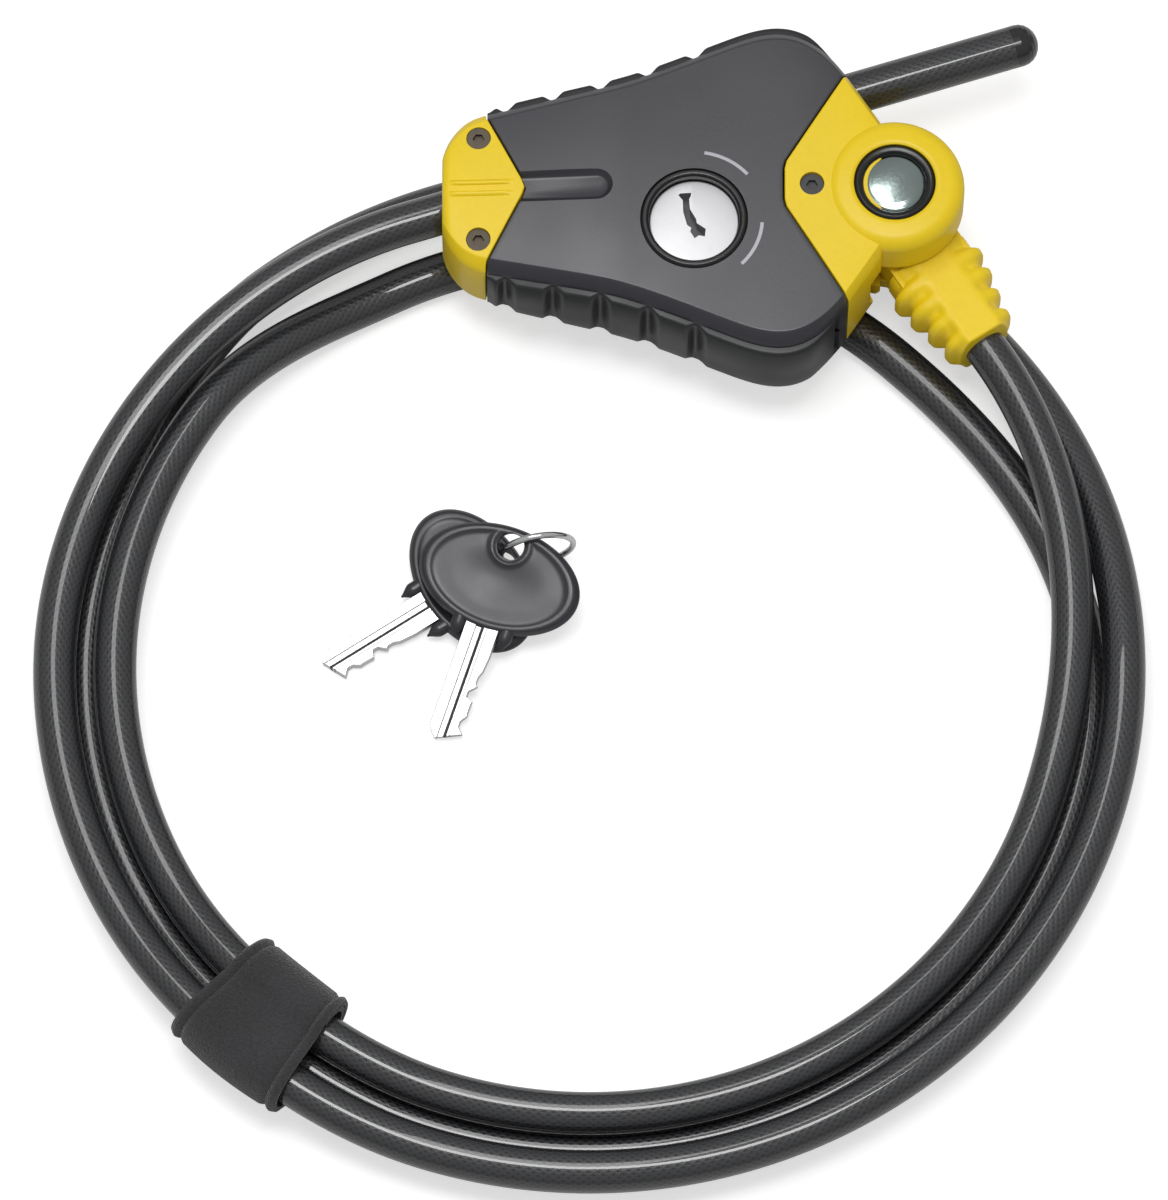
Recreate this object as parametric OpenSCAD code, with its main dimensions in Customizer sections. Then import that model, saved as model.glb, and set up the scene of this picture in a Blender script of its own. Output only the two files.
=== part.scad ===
// Adjustable keyed locking cable: a lock head that grips an 8 mm cable at any length.
// Millimetres. +X runs along the head to the swivel, +Z out of the lock's face.
// The origin is on the head's flat back, below the key cylinder's place along the head.

/* [Head] */
// Thickness of the head from its flat back to its face
head_t = 24; // [23:0.5:27]
// Distance from the key cylinder to the left end of the head
left_reach = 47; // [45:0.5:52]
// Distance from the key cylinder to the right end of the black body
right_reach = 28.7; // [27.5:0.1:30]
// Half of the head's width at its left end, before the corners are rounded
end_half = 14.2; // [13.5:0.1:15]
// Widening of each long side per millimetre of length
flare = 0.218; // [0.2:0.002:0.23]
// Extra half width of the shoulders
shoulder_rise = 5.1; // [4:0.1:6]
// How much lower the face lies at the left end
face_drop = 2.5; // [1:0.1:3]
// Height of the roll between the face and the long sides
roll_h = 3.4; // [2.6:0.1:3.8]
// Width of the same roll
roll_w = 2.3; // [1.6:0.1:2.6]
// Thickness of the back shell's floor below the mechanism
floor_t = 2.2; // [1.8:0.1:2.6]

/* [Grips] */
// Depth of the recess that each grip strip sits in
grip_seat = 2.2; // [1.5:0.1:2.6]
// How far the lobes of a grip stand out
lobe_h = 2.3; // [1.4:0.1:2.5]
// Distance from notch to notch
lobe_pitch = 8.9; // [8.4:0.1:9.2]
// Place of the notch nearest to the left end
first_notch_x = -35.2; // [-35.6:0.1:-34.4]
// Notches on each side
notch_n = 5; // [3:1:5]

/* [End caps] */
// Tip of the left cap's V
left_tip_x = -31.6; // [-33:0.1:-30]
// Flat bottom of the right cap's V
right_flat_x = 16.9; // [16:0.1:18]
// Half height of that flat
right_flat_half = 4; // [3:0.1:5]
// Joint line between a cap and the shells
seam = 0.15; // [0.1:0.05:0.3]
// Distance of the left cap's screws from the middle
left_screw_y = 10.2; // [9.5:0.1:10.8]
// Radius of the end caps' screw heads
cap_screw_r = 2.2; // [1.8:0.1:2.6]

/* [Swivel] */
// Distance from the key cylinder to the swivel pin
swivel_x = 37.4; // [36.5:0.1:39]
// Radius of the boss over the swivel
boss_r = 13.1; // [12.6:0.1:14]
// Radius of the swivel pin
swivel_pin_r = 4; // [3:0.1:4.5]
// Direction of the boot, degrees from the head's axis
boot_heading = -57; // [-60:1:-54]
// Distance from the swivel pin to the end of the boot
boot_l = 31; // [30:0.5:34]
// Width of the boot beside the boss
boot_w = 18; // [16:0.5:19]
// Width of the boot at its end
boot_end_w = 12.4; // [11:0.2:14]
// Ribs on each side of the boot
rib_n = 4; // [3:1:4]
// Height of the ribs
rib_h = 1.3; // [0.6:0.1:1.5]

/* [Key cylinder] */
// Distance from the head's axis to the key cylinder
cylinder_off = 7; // [6.5:0.1:7.5]
// Radius of the plug's face
plug_face_r = 8.4; // [8:0.1:8.6]
// Radius of the plug inside its housing
plug_r = 6.5; // [6.2:0.1:6.8]
// Outer radius of the bezel ring
bezel_r = 10; // [9.8:0.1:10.6]
// Depth of the plug's face below the bezel's rim
face_sink = 2.3; // [1.8:0.1:2.6]
// Length of the keyway
keyway_l = 8.4; // [7.6:0.1:8.8]
// Width of the keyway
keyway_w = 1.5; // [1.2:0.1:1.8]
// Lean of the keyway, degrees
keyway_lean = 18; // [10:1:25]
// Radius of the pins in the cylinder
tumbler_r = 1.25; // [1:0.05:1.4]
// Distance from pin to pin
tumbler_pitch = 2.9; // [2.8:0.05:3]

/* [Cable] */
// Diameter of the cable over its jacket
cable_d = 8; // [7.4:0.1:8]
// Angle between the cable's passage and the head's axis
bore_angle = 17.5; // [16.5:0.1:18]
// Distance from the head's axis to the passage, at the key cylinder
bore_off = 13.8; // [13.6:0.1:14.2]
// Clearance round the cable in its passage
bore_gap = 0.3; // [0.2:0.05:0.4]
// Length of cable that shows beyond the head, without its end cap
tail_l = 30; // [25:1:60]
// Length of the moulded cap on the cable's end
tip_l = 5; // [4:0.5:8]

/* [Coil] */
// Radius of the coil's inner lap, to the middle of the cable
coil_r = 88; // [86:0.5:90]
// Sideways step from the inner lap to the outer one
coil_step = 11.2; // [11.2:0.1:12]

/* [Gripper] */
// How far the key draws the gripper off the cable
grip_travel = 1.2; // [0.8:0.1:1.2]
// Length of the gripper's toothed block
grip_l = 16; // [13:0.5:16]
// Thickness of the block behind its groove
grip_t = 4; // [3.6:0.1:4.1]
// Teeth that bite on the cable
tooth_n = 6; // [4:1:7]
// Least radius of the cam
cam_r = 4.6; // [4.3:0.1:4.8]

/* [Strap] */
// Width of the strap along the cable
strap_w = 22; // [15:1:30]
// Thickness of the strap
strap_t = 1.1; // [0.8:0.1:1.6]
// Place of the strap round the coil, degrees
strap_at = 230; // [222:1:238]

/* [Keys] */
// Width of a key's bow
bow_w = 31; // [28:0.5:33]
// Height of a bow, along the key
bow_h = 20; // [19:0.5:22]
// Thickness of a bow at its rim
bow_t = 2.8; // [2.6:0.1:3.2]
// Thickness of the web inside the rim
web_t = 1.6; // [1.4:0.1:1.8]
// Length of a blade in front of its bow
blade_l = 22; // [20:0.5:26]
// Height of a blade
blade_w = 6.4; // [5:0.1:7]
// Thickness of a blade
blade_t = 2; // [1.6:0.1:2.2]
// Radius of the hole in a bow
bow_hole_r = 2.6; // [2.5:0.05:2.7]
// Distance from the middle of a bow to its hole
bow_hole_off = 6.4; // [5.8:0.1:6.6]
// Radius of the wire ring, to the middle of its wire
ring_r = 6.9; // [6.8:0.1:7.1]
// Radius of the ring's wire
ring_wire_r = 0.6; // [0.5:0.05:0.7]

/* [Hidden] */
$fn = 48;
big = 200;

// ---- running fits and seats
run_gap = 0.05;
slide_gap = 0.1;
seat_gap = 0.15;

// ---- the head's envelope
mid_z = head_t / 2;
waist_x = -18;
shoulder_x = 21;
nose_from = 6;
nose_drop = 12.9;
corner_from = -38;
corner_drop = 6;
neck_slope = 1.5;
neck_end_x = 35;
drop_from = -12;
drop_l = 35;

function smooth(t) = t <= 0 ? 0 : t >= 1 ? 1 : t * t * (3 - 2 * t);
function mix(a, b, t) = a + (b - a) * t;

// Half width of the head at x, where the face's roll meets the long side
function flank(x) =
    end_half + flare * (x + left_reach) + shoulder_rise * smooth((x - waist_x) / (shoulder_x - waist_x));
function nose(x) = nose_drop * pow(max(0, (x - nose_from) / (right_reach - nose_from)), 3);
function corner(x) = corner_drop * pow(max(0, (corner_from - x) / (left_reach + corner_from)), 3);
function half_width(x) =
    x <= right_reach ? flank(x) - nose(x) - corner(x)
    : flank(right_reach) - nose(right_reach) - neck_slope * (x - right_reach);

// Height of the face and of the back at x
function face_z(x) = head_t - face_drop * smooth((drop_from - x) / drop_l);
function back_z(x) = head_t - face_z(x);

// ---- grips: stations close together at the notches, wider on the long lobe
grip_from = -38.6;
grip_to = 26.2;
last_notch_x = first_notch_x + (notch_n - 1) * lobe_pitch;
notch_reach = 2.2;
grip_fade = 6;
notch_steps = [-2.2, -1.2, -0.4, 0.4, 1.2, 2.2];
lobe_steps = 8;
ramp = 0.4;
grip_x = concat(
    [grip_from, grip_from + ramp],
    [for (n = [0:notch_n - 1]) for (d = notch_steps) first_notch_x + n * lobe_pitch + d],
    [for (k = [1:lobe_steps]) mix(last_notch_x + notch_reach, grip_to, k / lobe_steps)]
);
shell_x = concat(
    [-45.5, -42.5, grip_from - 2 * ramp, grip_from - ramp],
    grip_x,
    [grip_to + ramp, grip_to + 2 * ramp, 27.8, right_reach, 30.5]
);

// How far the grip stands out at x: notches between lobes, and a fade at both ends
function notch_gap(x, n = 0) =
    n >= notch_n ? big : min(abs(x - first_notch_x - n * lobe_pitch), notch_gap(x, n + 1));
function lobe(x) =
    lobe_h * smooth(notch_gap(x) / notch_reach) * smooth((grip_to + 1 - x) / grip_fade)
    * mix(0.4, 1, smooth((x - grip_from) / notch_reach));
function band_half(x) = face_z(x) - mid_z - roll_h;
function seat_depth(x) = x < grip_from - ramp || x > grip_to + ramp ? 0 : grip_seat;

// ---- end caps
left_wing_x = -38.8;
left_wing_y = 14.6;
wing_reach = 30;
right_wing_x = 36;
right_slope = 1.6;
right_screw_x = 22;
left_screw_x = -40.2;
cap_screw_sink = 0.8;
cap_screw_l = 12;

// ---- swivel
ear_gap = 0.3;
swing_out = 12;
swing_back = 8;
swing_gap = 0.5;
ear_step = 0.4;
eye_z0 = 4.9;
eye_z1 = 13.5;
lower_ear_z0 = 0.6;
lower_ear_r = 11.6;
boss_top = head_t + 0.5;
boss_edge = 2.4;
ring_r_out = 7.6;
ring_r_in = 5.7;
ring_sink = 2.6;
pin_z0 = 1.4;
pin_top_z = boss_top - ring_sink - 1.2;
boot_eye_r = 10.6;
boot_neck = boss_r + 0.5;
boot_mid_z = 7.5;
boot_half_h = 6.1;
boot_end_half_h = 5.6;
boot_stations = 5;
spine_half = 4;
spine_top = 13.7;
eye_r = 7;
shank_r = 5.4;
shank_at = 12.2;
shank_l = 23;
socket_at = 13.5;
neck_half = 5;
neck_z1 = 12.4;
swivel_in = [swivel_x, 0, 0];
function boot_out(d) = [swivel_x + d * cos(boot_heading), d * sin(boot_heading), boot_mid_z];

// ---- key cylinder, from the face inwards
bezel_top = head_t + 0.3;
face_disc_t = 2;
plug_top = bezel_top - face_sink;
housing_top = plug_top - face_disc_t;
housing_z0 = 6.6;
housing_r = 9.9;
bible_w = 5.2;
bible_r = 14;
tumbler_n = 4;
first_tumbler_z = 17.6;
key_reach = -2.8;
driver_l = 3;
chamber_end = 13.3;
clip_t = 0.8;
clip_r = 7.6;
clip_groove_r = 5.2;
tail_r = 2.8;
cam_t = 2;
cam_z = housing_z0 - run_gap - clip_t - cam_t - 0.5;
key_dir = 90 + keyway_lean;
cuts = [1.2, 0.4, 1.6, 0.8];

// ---- the cable's passage through the head
cable_r = cable_d / 2;
bore_r = cable_r + bore_gap;
bore_z = mid_z;
mouth_x = -left_reach;
function on_bore(x) = [x, bore_off + x * tan(bore_angle), bore_z];
tail_from_x = 31.4;
grip_gap = (bore_off + cylinder_off) * cos(bore_angle);
past_end = 5;
bore_far = 60;

// ---- lock core, in the frame that bore_frame() gives: x along the cable, y towards it
core_r = 11.4;
core_top = mid_z + 6.4;
core_bottom = mid_z - 6.4;
guide_half = 17;
guide_wall = 5.6;
web_half = 10.5;
lug_w = 9;
lug_r = 16;
barrel_top = housing_top - 0.1;
core_step = 0.4;
lug_top = barrel_top - core_step;

// ---- gripper
groove_gap = 0.02;
tooth_depth = 0.5;
grip_half_h = 5;
yoke_t = 2;
yoke_z = cam_z;
yoke_side = 6.4;
yoke_bar = 2;
yoke_front = 6.9;
cam_gap = 0.15;
cam_fall = 40;
spring_r = 1.5;
spring_wire = 0.35;
spring_turns = 4;
spring_at = 6;
spring_l = 4.2;

// ---- the coil: [degrees swept clockwise from the boot, radius, height], eased from row to row
coil_c = [-19.5, 0.4 - coil_r];
boot_end = boot_out(boot_l);
mouth = on_bore(mouth_x);
run_in = on_bore(mouth_x - cable_d * cos(bore_angle));
function polar_r(p) = norm([p[0] - coil_c[0], p[1] - coil_c[1]]);
function polar_a(p) = atan2(p[1] - coil_c[1], p[0] - coil_c[0]);
start_a = polar_a(boot_end);
sweep = start_a + 3 * 360 - polar_a(run_in);
low_z = -4.2;
mid_lap_r = coil_r + 5.4;
high_z = 2.3;
coil_rows = [
    [0, polar_r(boot_end), boot_mid_z],
    [58, coil_r, high_z],
    [255, coil_r, high_z],
    [284, coil_r - 2.4, low_z],
    [352, coil_r - 2.4, low_z],
    [408, mid_lap_r, low_z],
    [600, mid_lap_r, low_z],
    [632, mid_lap_r + 5.4, low_z],
    [712, coil_r + coil_step + 1.2, low_z],
    [762, coil_r + coil_step, high_z],
    [938, coil_r + coil_step, high_z],
    [sweep, polar_r(run_in), bore_z]
];
last_row = len(coil_rows) - 1;
rings_per_turn = 24;
coil_sides = 6;
lead_sides = 12;
lead_sweep = 15;
hump_reach = 22;
strap_pad = 1.1;
hump_h = strap_pad + strap_t + 0.05;
floor_z = low_z - cable_r;

function turn_from(a, b) = abs((a - b + 540) % 360 - 180);
function hump(a) = hump_h * (1 - smooth(turn_from(a + 3 * 360, strap_at) / hump_reach));
function row_of(s, k = 0) = k >= last_row - 1 || s <= coil_rows[k + 1][0] ? k : row_of(s, k + 1);
function ease_r(t, k) = k == 0 ? t + t * t - t * t * t : k == last_row - 1 ? 2 * t * t - t * t * t : smooth(t);
function coil_rz_in(s, k, t) = [
    mix(coil_rows[k][1], coil_rows[k + 1][1], ease_r(t, k)),
    mix(coil_rows[k][2], coil_rows[k + 1][2], smooth(t)) + hump(start_a - s)
];
function coil_rz(s) =
    let (k = row_of(s), t = (s - coil_rows[k][0]) / (coil_rows[k + 1][0] - coil_rows[k][0]))
    coil_rz_in(s, k, t);
function coil_point(s) =
    let (p = coil_rz(s), a = start_a - s)
    [coil_c[0] + p[0] * cos(a), coil_c[1] + p[0] * sin(a), p[1]];

coil_rings = ceil((sweep - lead_sweep) / 360 * rings_per_turn);
coil_path = concat(
    [for (k = [0:coil_rings]) coil_point(mix(lead_sweep, sweep, k / coil_rings))],
    [mouth]
);
lead_path = concat([boot_out(socket_at)], [for (k = [0:2]) coil_point(k * lead_sweep / 2)]);
coil_start_dir = coil_point(lead_sweep + 1) - coil_point(lead_sweep - 1);

// Least gap between two laps, taken every degree, and the cable's length
function lap_gap(s, n) = norm(coil_rz(s) - coil_rz(s + 360 * n)) - cable_d;
function path_l(p, k = 0) = k >= len(p) - 1 ? 0 : norm(p[k + 1] - p[k]) + path_l(p, k + 1);
echo(least_coil_gap = min(
    [for (n = [1:2]) for (s = [0:1:sweep - 360 * n]) lap_gap(s, n)]
));
echo(cable_length = path_l(lead_path) + path_l(coil_path) + head_run_l + tail_l + tip_l);
head_run_l = norm(on_bore(tail_from_x) - mouth);

// ---- keys
key_1_at = [-34.1, -64.4];
key_1_heading = -110;
key_2_at = [-35.9, -65];
key_2_heading = -148;
key_2_lift = 2.6;
key_stack = bow_t + 4;
key_l = bow_hole_off + bow_h / 2 + blade_l;
bow_edge = bow_h / 2 - bow_hole_off;
tip_z = floor_z + blade_t / 2 + 0.05;
key_2_z = floor_z + key_2_lift + bow_t / 2;
key_1_z = key_2_z + key_stack;
key_1_tilt = asin((key_1_z - tip_z) / key_l);
key_2_tilt = asin((key_2_z - tip_z) / key_l);
rim_w = 1.5;
key_1_hole = [key_1_at[0], key_1_at[1], key_1_z];
key_2_hole = [key_2_at[0], key_2_at[1], key_2_z];
ring_turn = 10.5;
// The wire passes each hole on the side that faces the other hole
wire_shift_1 = bow_hole_r - ring_wire_r - 0.76;
wire_shift_2 = bow_hole_r - ring_wire_r - 1.18;
hole_dir = [key_1_at[0] - key_2_at[0], key_1_at[1] - key_2_at[1], 0] / norm(key_1_at - key_2_at);
pass_1 = key_1_hole - wire_shift_1 * hole_dir;
pass_2 = key_2_hole + wire_shift_2 * hole_dir;
ring_lean = [cos(ring_turn), sin(ring_turn), 0.09];
chord = pass_1 - pass_2;
ring_up = chord / norm(chord);
ring_out_raw = ring_lean - (ring_lean * ring_up) * ring_up;
ring_out = ring_out_raw / norm(ring_out_raw);
ring_c = (pass_1 + pass_2) / 2 + ring_out * sqrt(ring_r * ring_r - chord * chord / 4);
ring_n = cross(ring_out, ring_up);

// ===== helpers

// A solid through rings of equal length; the rings turn right-handed about the way they run
module loft(rings) {
    n = len(rings[0]);
    m = len(rings);
    points = [for (r = rings) for (p = r) p];
    sides = [
        for (j = [0:m - 2]) for (i = [0:n - 1])
            let (a = j * n + i, b = j * n + (i + 1) % n)
            each [[a, b + n, b], [a, a + n, b + n]]
    ];
    ends = [[for (i = [0:n - 1]) i], [for (i = [n - 1:-1:0]) (m - 1) * n + i]];
    polyhedron(points = points, faces = concat(sides, ends));
}

// Rings of a tube along a path; the side directions stay level, so that one face lies flat below
function unit(v) = v / norm(v);
function path_dir(p, k, first, last) =
    k == 0 ? unit(first) : k == len(p) - 1 ? unit(last) : unit(p[k + 1] - p[k - 1]);
function end_dir(p) = p[len(p) - 1] - p[len(p) - 2];
function ring_at(c, d, r, sides) =
    let (s = unit(cross([0, 0, 1], d)), u = cross(d, s))
    [for (i = [0:sides - 1]) let (a = 360 * i / sides) c + r * (cos(a) * s + sin(a) * u)];
module tube(path, r, sides, first, last) {
    loft([for (k = [0:len(path) - 1]) ring_at(path[k], path_dir(path, k, first, last), r, sides)]);
}

// Cylinder from z0 to z1
module disc(r, z0, z1) {
    translate([0, 0, z0]) cylinder(r = r, h = z1 - z0);
}

// Box between two corners
module block(a, b) {
    translate(a) cube(b - a);
}

// The key cylinder's axis, and the same place turned to face the cable's passage
module at_cylinder() {
    translate([0, -cylinder_off, 0]) children();
}
module bore_frame() {
    at_cylinder() rotate([0, 0, bore_angle]) children();
}

// A rod along the cable's passage between two places along the head
module bore_rod(r, x0, x1) {
    translate(on_bore(x0)) rotate([0, 90, bore_angle]) cylinder(r = r, h = (x1 - x0) / cos(bore_angle));
}

// The keyway's line as +Y
module key_frame() {
    at_cylinder() rotate([0, 0, keyway_lean]) children();
}

// ===== the head's outline

// Section of the whole head at x, and of one half of it above the split
roll_steps = 4;
function roll(x, top) = [
    for (k = [0:roll_steps])
        let (a = 90 * k / roll_steps, w = half_width(x))
        [w - roll_w * (1 - cos(a)), top ? face_z(x) - roll_h * (1 - sin(a)) : back_z(x) + roll_h * (1 - sin(a))]
];
function flip(side) = [for (k = [len(side) - 1:-1:0]) [-side[k][0], side[k][1]]];
function reverse(side) = [for (k = [len(side) - 1:-1:0]) side[k]];
function at_x(x, side) = [for (p = side) [x, p[0], p[1]]];
function whole_section(x) =
    let (side = concat(reverse(roll(x, false)), roll(x, true)))
    at_x(x, concat(side, flip(side)));
function half_section(x, top) =
    let (
        w = half_width(x) - seat_depth(x),
        band = top ? mid_z + band_half(x) : mid_z - band_half(x),
        side = concat([[w, mid_z], [w, band]], roll(x, top))
    )
    at_x(x, top ? concat(side, flip(side)) : concat(reverse(side), reverse(flip(side))));

module half_shell(top) {
    loft([for (x = shell_x) half_section(x, top)]);
}

cap_x_left = [-left_reach, -46.6, -45.8, -44.6, -43, -41, -38, -35, -31];
cap_x_right = [16, 18, 20, 21.5, 23, 24.2, 25.4, 26.4, 27.3, right_reach, 31, 33, neck_end_x];
module envelope(xs) {
    loft([for (x = xs) whole_section(x)]);
}

// Plan of the two V joints
function left_v() = [
    [-big, -wing_reach], [left_wing_x, -wing_reach], [left_wing_x, -left_wing_y],
    [left_tip_x - 0.5, -1.5], [left_tip_x, 0], [left_tip_x - 0.5, 1.5],
    [left_wing_x, left_wing_y], [left_wing_x, wing_reach], [-big, wing_reach]
];
function right_v() =
    let (wing_y = right_flat_half + right_slope * (right_wing_x - right_flat_x))
    [
        [right_flat_x, -right_flat_half], [right_wing_x, -wing_y], [big, -wing_y],
        [big, wing_y], [right_wing_x, wing_y], [right_flat_x, right_flat_half]
    ];
module v_cut(plan, shift) {
    translate([shift, 0, -head_t]) linear_extrude(3 * head_t) polygon(plan);
}

// Everything that passes through the shells
module shell_cuts() {
    v_cut(left_v(), seam);
    v_cut(right_v(), -seam);
    bore_rod(bore_r, -left_reach - past_end, bore_far);
    core_shape(seat_gap);
    screw_holes();
}

screw_at = [[-27, -9.2], [11.2, -22], [8, 24.8]];
housing_screw_r = 1.5;
housing_head_r = 2.8;
housing_head_t = 1.6;
housing_screw_sink = 0.4;
housing_screw_l = 15.5;
module screw_holes() {
    for (p = screw_at) translate([p[0], p[1], 0]) {
        disc(housing_head_r + slide_gap, -1, housing_screw_sink + housing_head_t + slide_gap);
        disc(housing_screw_r + run_gap, 0, housing_screw_l + housing_screw_sink + slide_gap);
    }
}

// ===== shells and grips

pill_half = 3;
pill_end = -18.2;
pill_depth = 1.2;
module pill(half, depth, x1) {
    top = head_t + 1;
    translate([x1, 0, 0]) disc(half, head_t - depth - 0.9, top);
    block([left_tip_x - 4, -half, head_t - depth - 0.9], [x1, half, top]);
}

module front_shell() {
    color("#3a3b3e") difference() {
        half_shell(true);
        shell_cuts();
        at_cylinder() disc(bezel_r + run_gap, housing_top - slide_gap, head_t + 1);
        intersection() {
            pill(pill_half, pill_depth, pill_end);
            translate([0, 0, -pill_depth]) pill_floor();
        }
    }
}

// Space above the face, lowered with it towards the left end
module pill_floor() {
    xs = [-38, -33, -28, -23, -18, -14];
    loft([
        for (x = xs) at_x(x, [[-pill_half - 1, face_z(x)], [pill_half + 1, face_z(x)],
            [pill_half + 1, head_t + 3], [-pill_half - 1, head_t + 3]])
    ]);
}

module back_shell() {
    color("#36373a") difference() {
        half_shell(false);
        shell_cuts();
        bore_frame() yoke_space();
        key_frame() lug_space();
    }
}

grip_profile = [0.15, 0.75, 1, 1, 0.9, 0.45];
grip_levels = [-1, -0.72, -0.25, 0.25, 0.72, 1];
function grip_section(x) =
    let (w = half_width(x), h = band_half(x) - seat_gap, inner = w - grip_seat + seat_gap)
    at_x(x, concat(
        [[inner, mid_z + h], [inner, mid_z - h]],
        [for (k = [0:5]) [w + 0.2 + lobe(x) * grip_profile[k], mid_z + h * grip_levels[k]]]
    ));
module grip_strip() {
    difference() {
        loft([for (x = grip_x) grip_section(x)]);
        v_cut(left_v(), seam);
    }
}
module upper_grip() {
    color("#2c2d2f") difference() {
        grip_strip();
        bore_rod(bore_r, 0, bore_far);
    }
}
module lower_grip() {
    color("#2c2d2f") mirror([0, 1, 0]) grip_strip();
}

// ===== end caps

mouth_depth = 2.2;
ridge_gap = 1.2;
ridge_w = 0.9;
ridge_h = 0.5;
module left_end_cap() {
    mouth_r = cable_r + 1.6;
    color("#f4d311") difference() {
        union() {
            intersection() {
                envelope(cap_x_left);
                v_cut(left_v(), 0);
            }
            for (s = [-1, 1]) mirror([0, s < 0 ? 1 : 0, 0]) ridge();
        }
        bore_rod(bore_r, -left_reach - past_end, 0);
        bore_rod(mouth_r, -left_reach - past_end, -left_reach + mouth_depth);
        for (s = [-1, 1]) translate([left_screw_x, s * left_screw_y, 0]) cap_screw_hole();
    }
}
module ridge() {
    xs = [-44.5, -41, -37.5, -34.2];
    loft([
        for (x = xs) at_x(x, [[ridge_gap / 2, face_z(x) - 1], [ridge_gap / 2 + ridge_w, face_z(x) - 1],
            [ridge_gap / 2 + ridge_w, face_z(x) + ridge_h * 0.4], [ridge_gap / 2, face_z(x) + ridge_h]])
    ]);
}
module cap_screw_hole() {
    z = face_z(left_screw_x) - cap_screw_sink;
    disc(cap_screw_r + slide_gap, z - 1.4, head_t + 2);
    disc(cap_screw_r * 0.6 + slide_gap, z - cap_screw_l - slide_gap, z);
}
module cap_screw() {
    difference() {
        union() {
            disc(cap_screw_r, -1.3, 0);
            disc(cap_screw_r * 0.6, -cap_screw_l, -1);
        }
        translate([0, 0, -0.9]) cylinder(r = 1.1, h = 2, $fn = 6);
    }
}
module left_cap_screws() {
    z = face_z(left_screw_x) - cap_screw_sink;
    color("silver") for (s = [-1, 1]) translate([left_screw_x, s * left_screw_y, z]) cap_screw();
}
module right_cap_screw() {
    color("silver") translate([right_screw_x, 0, head_t - cap_screw_sink]) cap_screw();
}

module right_end_cap() {
    color("#f4d311") difference() {
        union() {
            intersection() {
                envelope(cap_x_right);
                v_cut(right_v(), 0);
            }
            translate(swivel_in) boss();
            translate(swivel_in) disc(lower_ear_r, lower_ear_z0, eye_z0 - ear_gap - ear_step);
        }
        translate(swivel_in) swivel_slot();
        bore_rod(bore_r, 0, bore_far);
        translate([right_screw_x, 0, 0]) {
            disc(cap_screw_r + slide_gap, head_t - cap_screw_sink - 1.4, head_t + 2);
            disc(cap_screw_r * 0.6 + slide_gap, head_t - cap_screw_sink - cap_screw_l - slide_gap, head_t);
        }
        core_shape(seat_gap);
    }
}
// Round upper ear with a softened edge and the seat of the ring and disc
module boss() {
    z0 = eye_z1 + ear_gap + ear_step;
    top_in = boss_top + 0.4;
    rotate_extrude() polygon(concat(
        [[0, z0], [boss_r, z0]],
        [for (k = [0:6]) let (a = 15 * k)
            [boss_r - boss_edge * (1 - cos(a)), boss_top - boss_edge * (1 - sin(a))]],
        [[ring_r_out + 0.8, top_in], [0, top_in]]
    ));
}
module swivel_slot() {
    slot_r = boot_eye_r + 0.4;
    rotate([0, 0, boot_heading]) translate([0, 0, eye_z0 - ear_gap])
        linear_extrude(eye_z1 - eye_z0 + 2 * ear_gap) polygon(concat(
            [[big, slot_r + big * tan(swing_out)]],
            [for (a = [90:7.5:270]) slot_r * [cos(a), sin(a)]],
            [[big, -slot_r - big * tan(swing_back)]]
        ));
    // Room for the boot's swing, outside the ears
    room = boot_w / 2 + rib_h / 2 + swing_gap;
    rotate([0, 0, boot_heading]) difference() {
        translate([0, 0, -1]) linear_extrude(eye_z1 + ear_gap + 1.2) polygon([
            [0, room], [0, -room], [big, -room - big * tan(swing_back)], [big, room + big * tan(swing_out)]
        ]);
        disc(boot_neck - swing_gap, -2, head_t);
    }
    disc(swivel_pin_r + 0.02, pin_z0, head_t + 2);
    disc(ring_r_out + run_gap, boss_top - ring_sink, head_t + 3);
}

// ===== screws through the back

module housing_screws() {
    color("dimgray") for (p = screw_at) translate([p[0], p[1], housing_screw_sink]) difference() {
        union() {
            disc(housing_head_r, 0, housing_head_t);
            disc(housing_screw_r, housing_head_t / 2, housing_screw_l);
        }
        translate([0, 0, -1]) cylinder(r = 1.3, h = 1.9, $fn = 6);
    }
}

// ===== lock core

module core_shape(g) {
    at_cylinder() disc(core_r + g, core_bottom - g, barrel_top + g);
    bore_frame() translate([0, 0, core_bottom + core_step / 2 - g])
        linear_extrude(core_top - core_bottom - core_step / 2 + 2 * g)
        polygon(guide_plan(web_half + g, guide_half + g, grip_gap - guide_wall - g, grip_gap + guide_wall + g));
    key_frame() block([-lug_w / 2 - g, -lug_r - g, core_bottom + core_step - g], [lug_w / 2 + g, 0, lug_top + g]);
}
// T-shaped plan: the web from the barrel, and the guide along the cable
function guide_plan(web, guide, y1, y2) =
    [[-web, 0], [web, 0], [web, y1], [guide, y1], [guide, y2], [-guide, y2], [-guide, y1], [-web, y1]];
module lock_core() {
    slot = grip_l / 2 + slide_gap;
    groove_y = grip_gap - cable_r;
    pocket = spring_r + spring_wire + slide_gap;
    color("slategray") difference() {
        core_shape(0);
        at_cylinder() disc(housing_r + run_gap, 0, head_t);
        bore_rod(bore_r, -bore_far, bore_far);
        key_frame() block([-bible_w / 2 - run_gap, -bible_r - run_gap, 0], [bible_w / 2 + run_gap, 0, head_t]);
        bore_frame() {
            block([-slot, groove_y - grip_t + 1 - grip_travel - slide_gap, 0],
                [slot, groove_y + 1 + slide_gap, mid_z + grip_half_h + slide_gap]);
            for (s = [-1, 1]) translate([s * spring_at, groove_y - grip_t + 1 - spring_l - slide_gap, mid_z])
                block([-pocket, 0, -pocket], [pocket, spring_l, pocket]);
        }
    }
}

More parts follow.
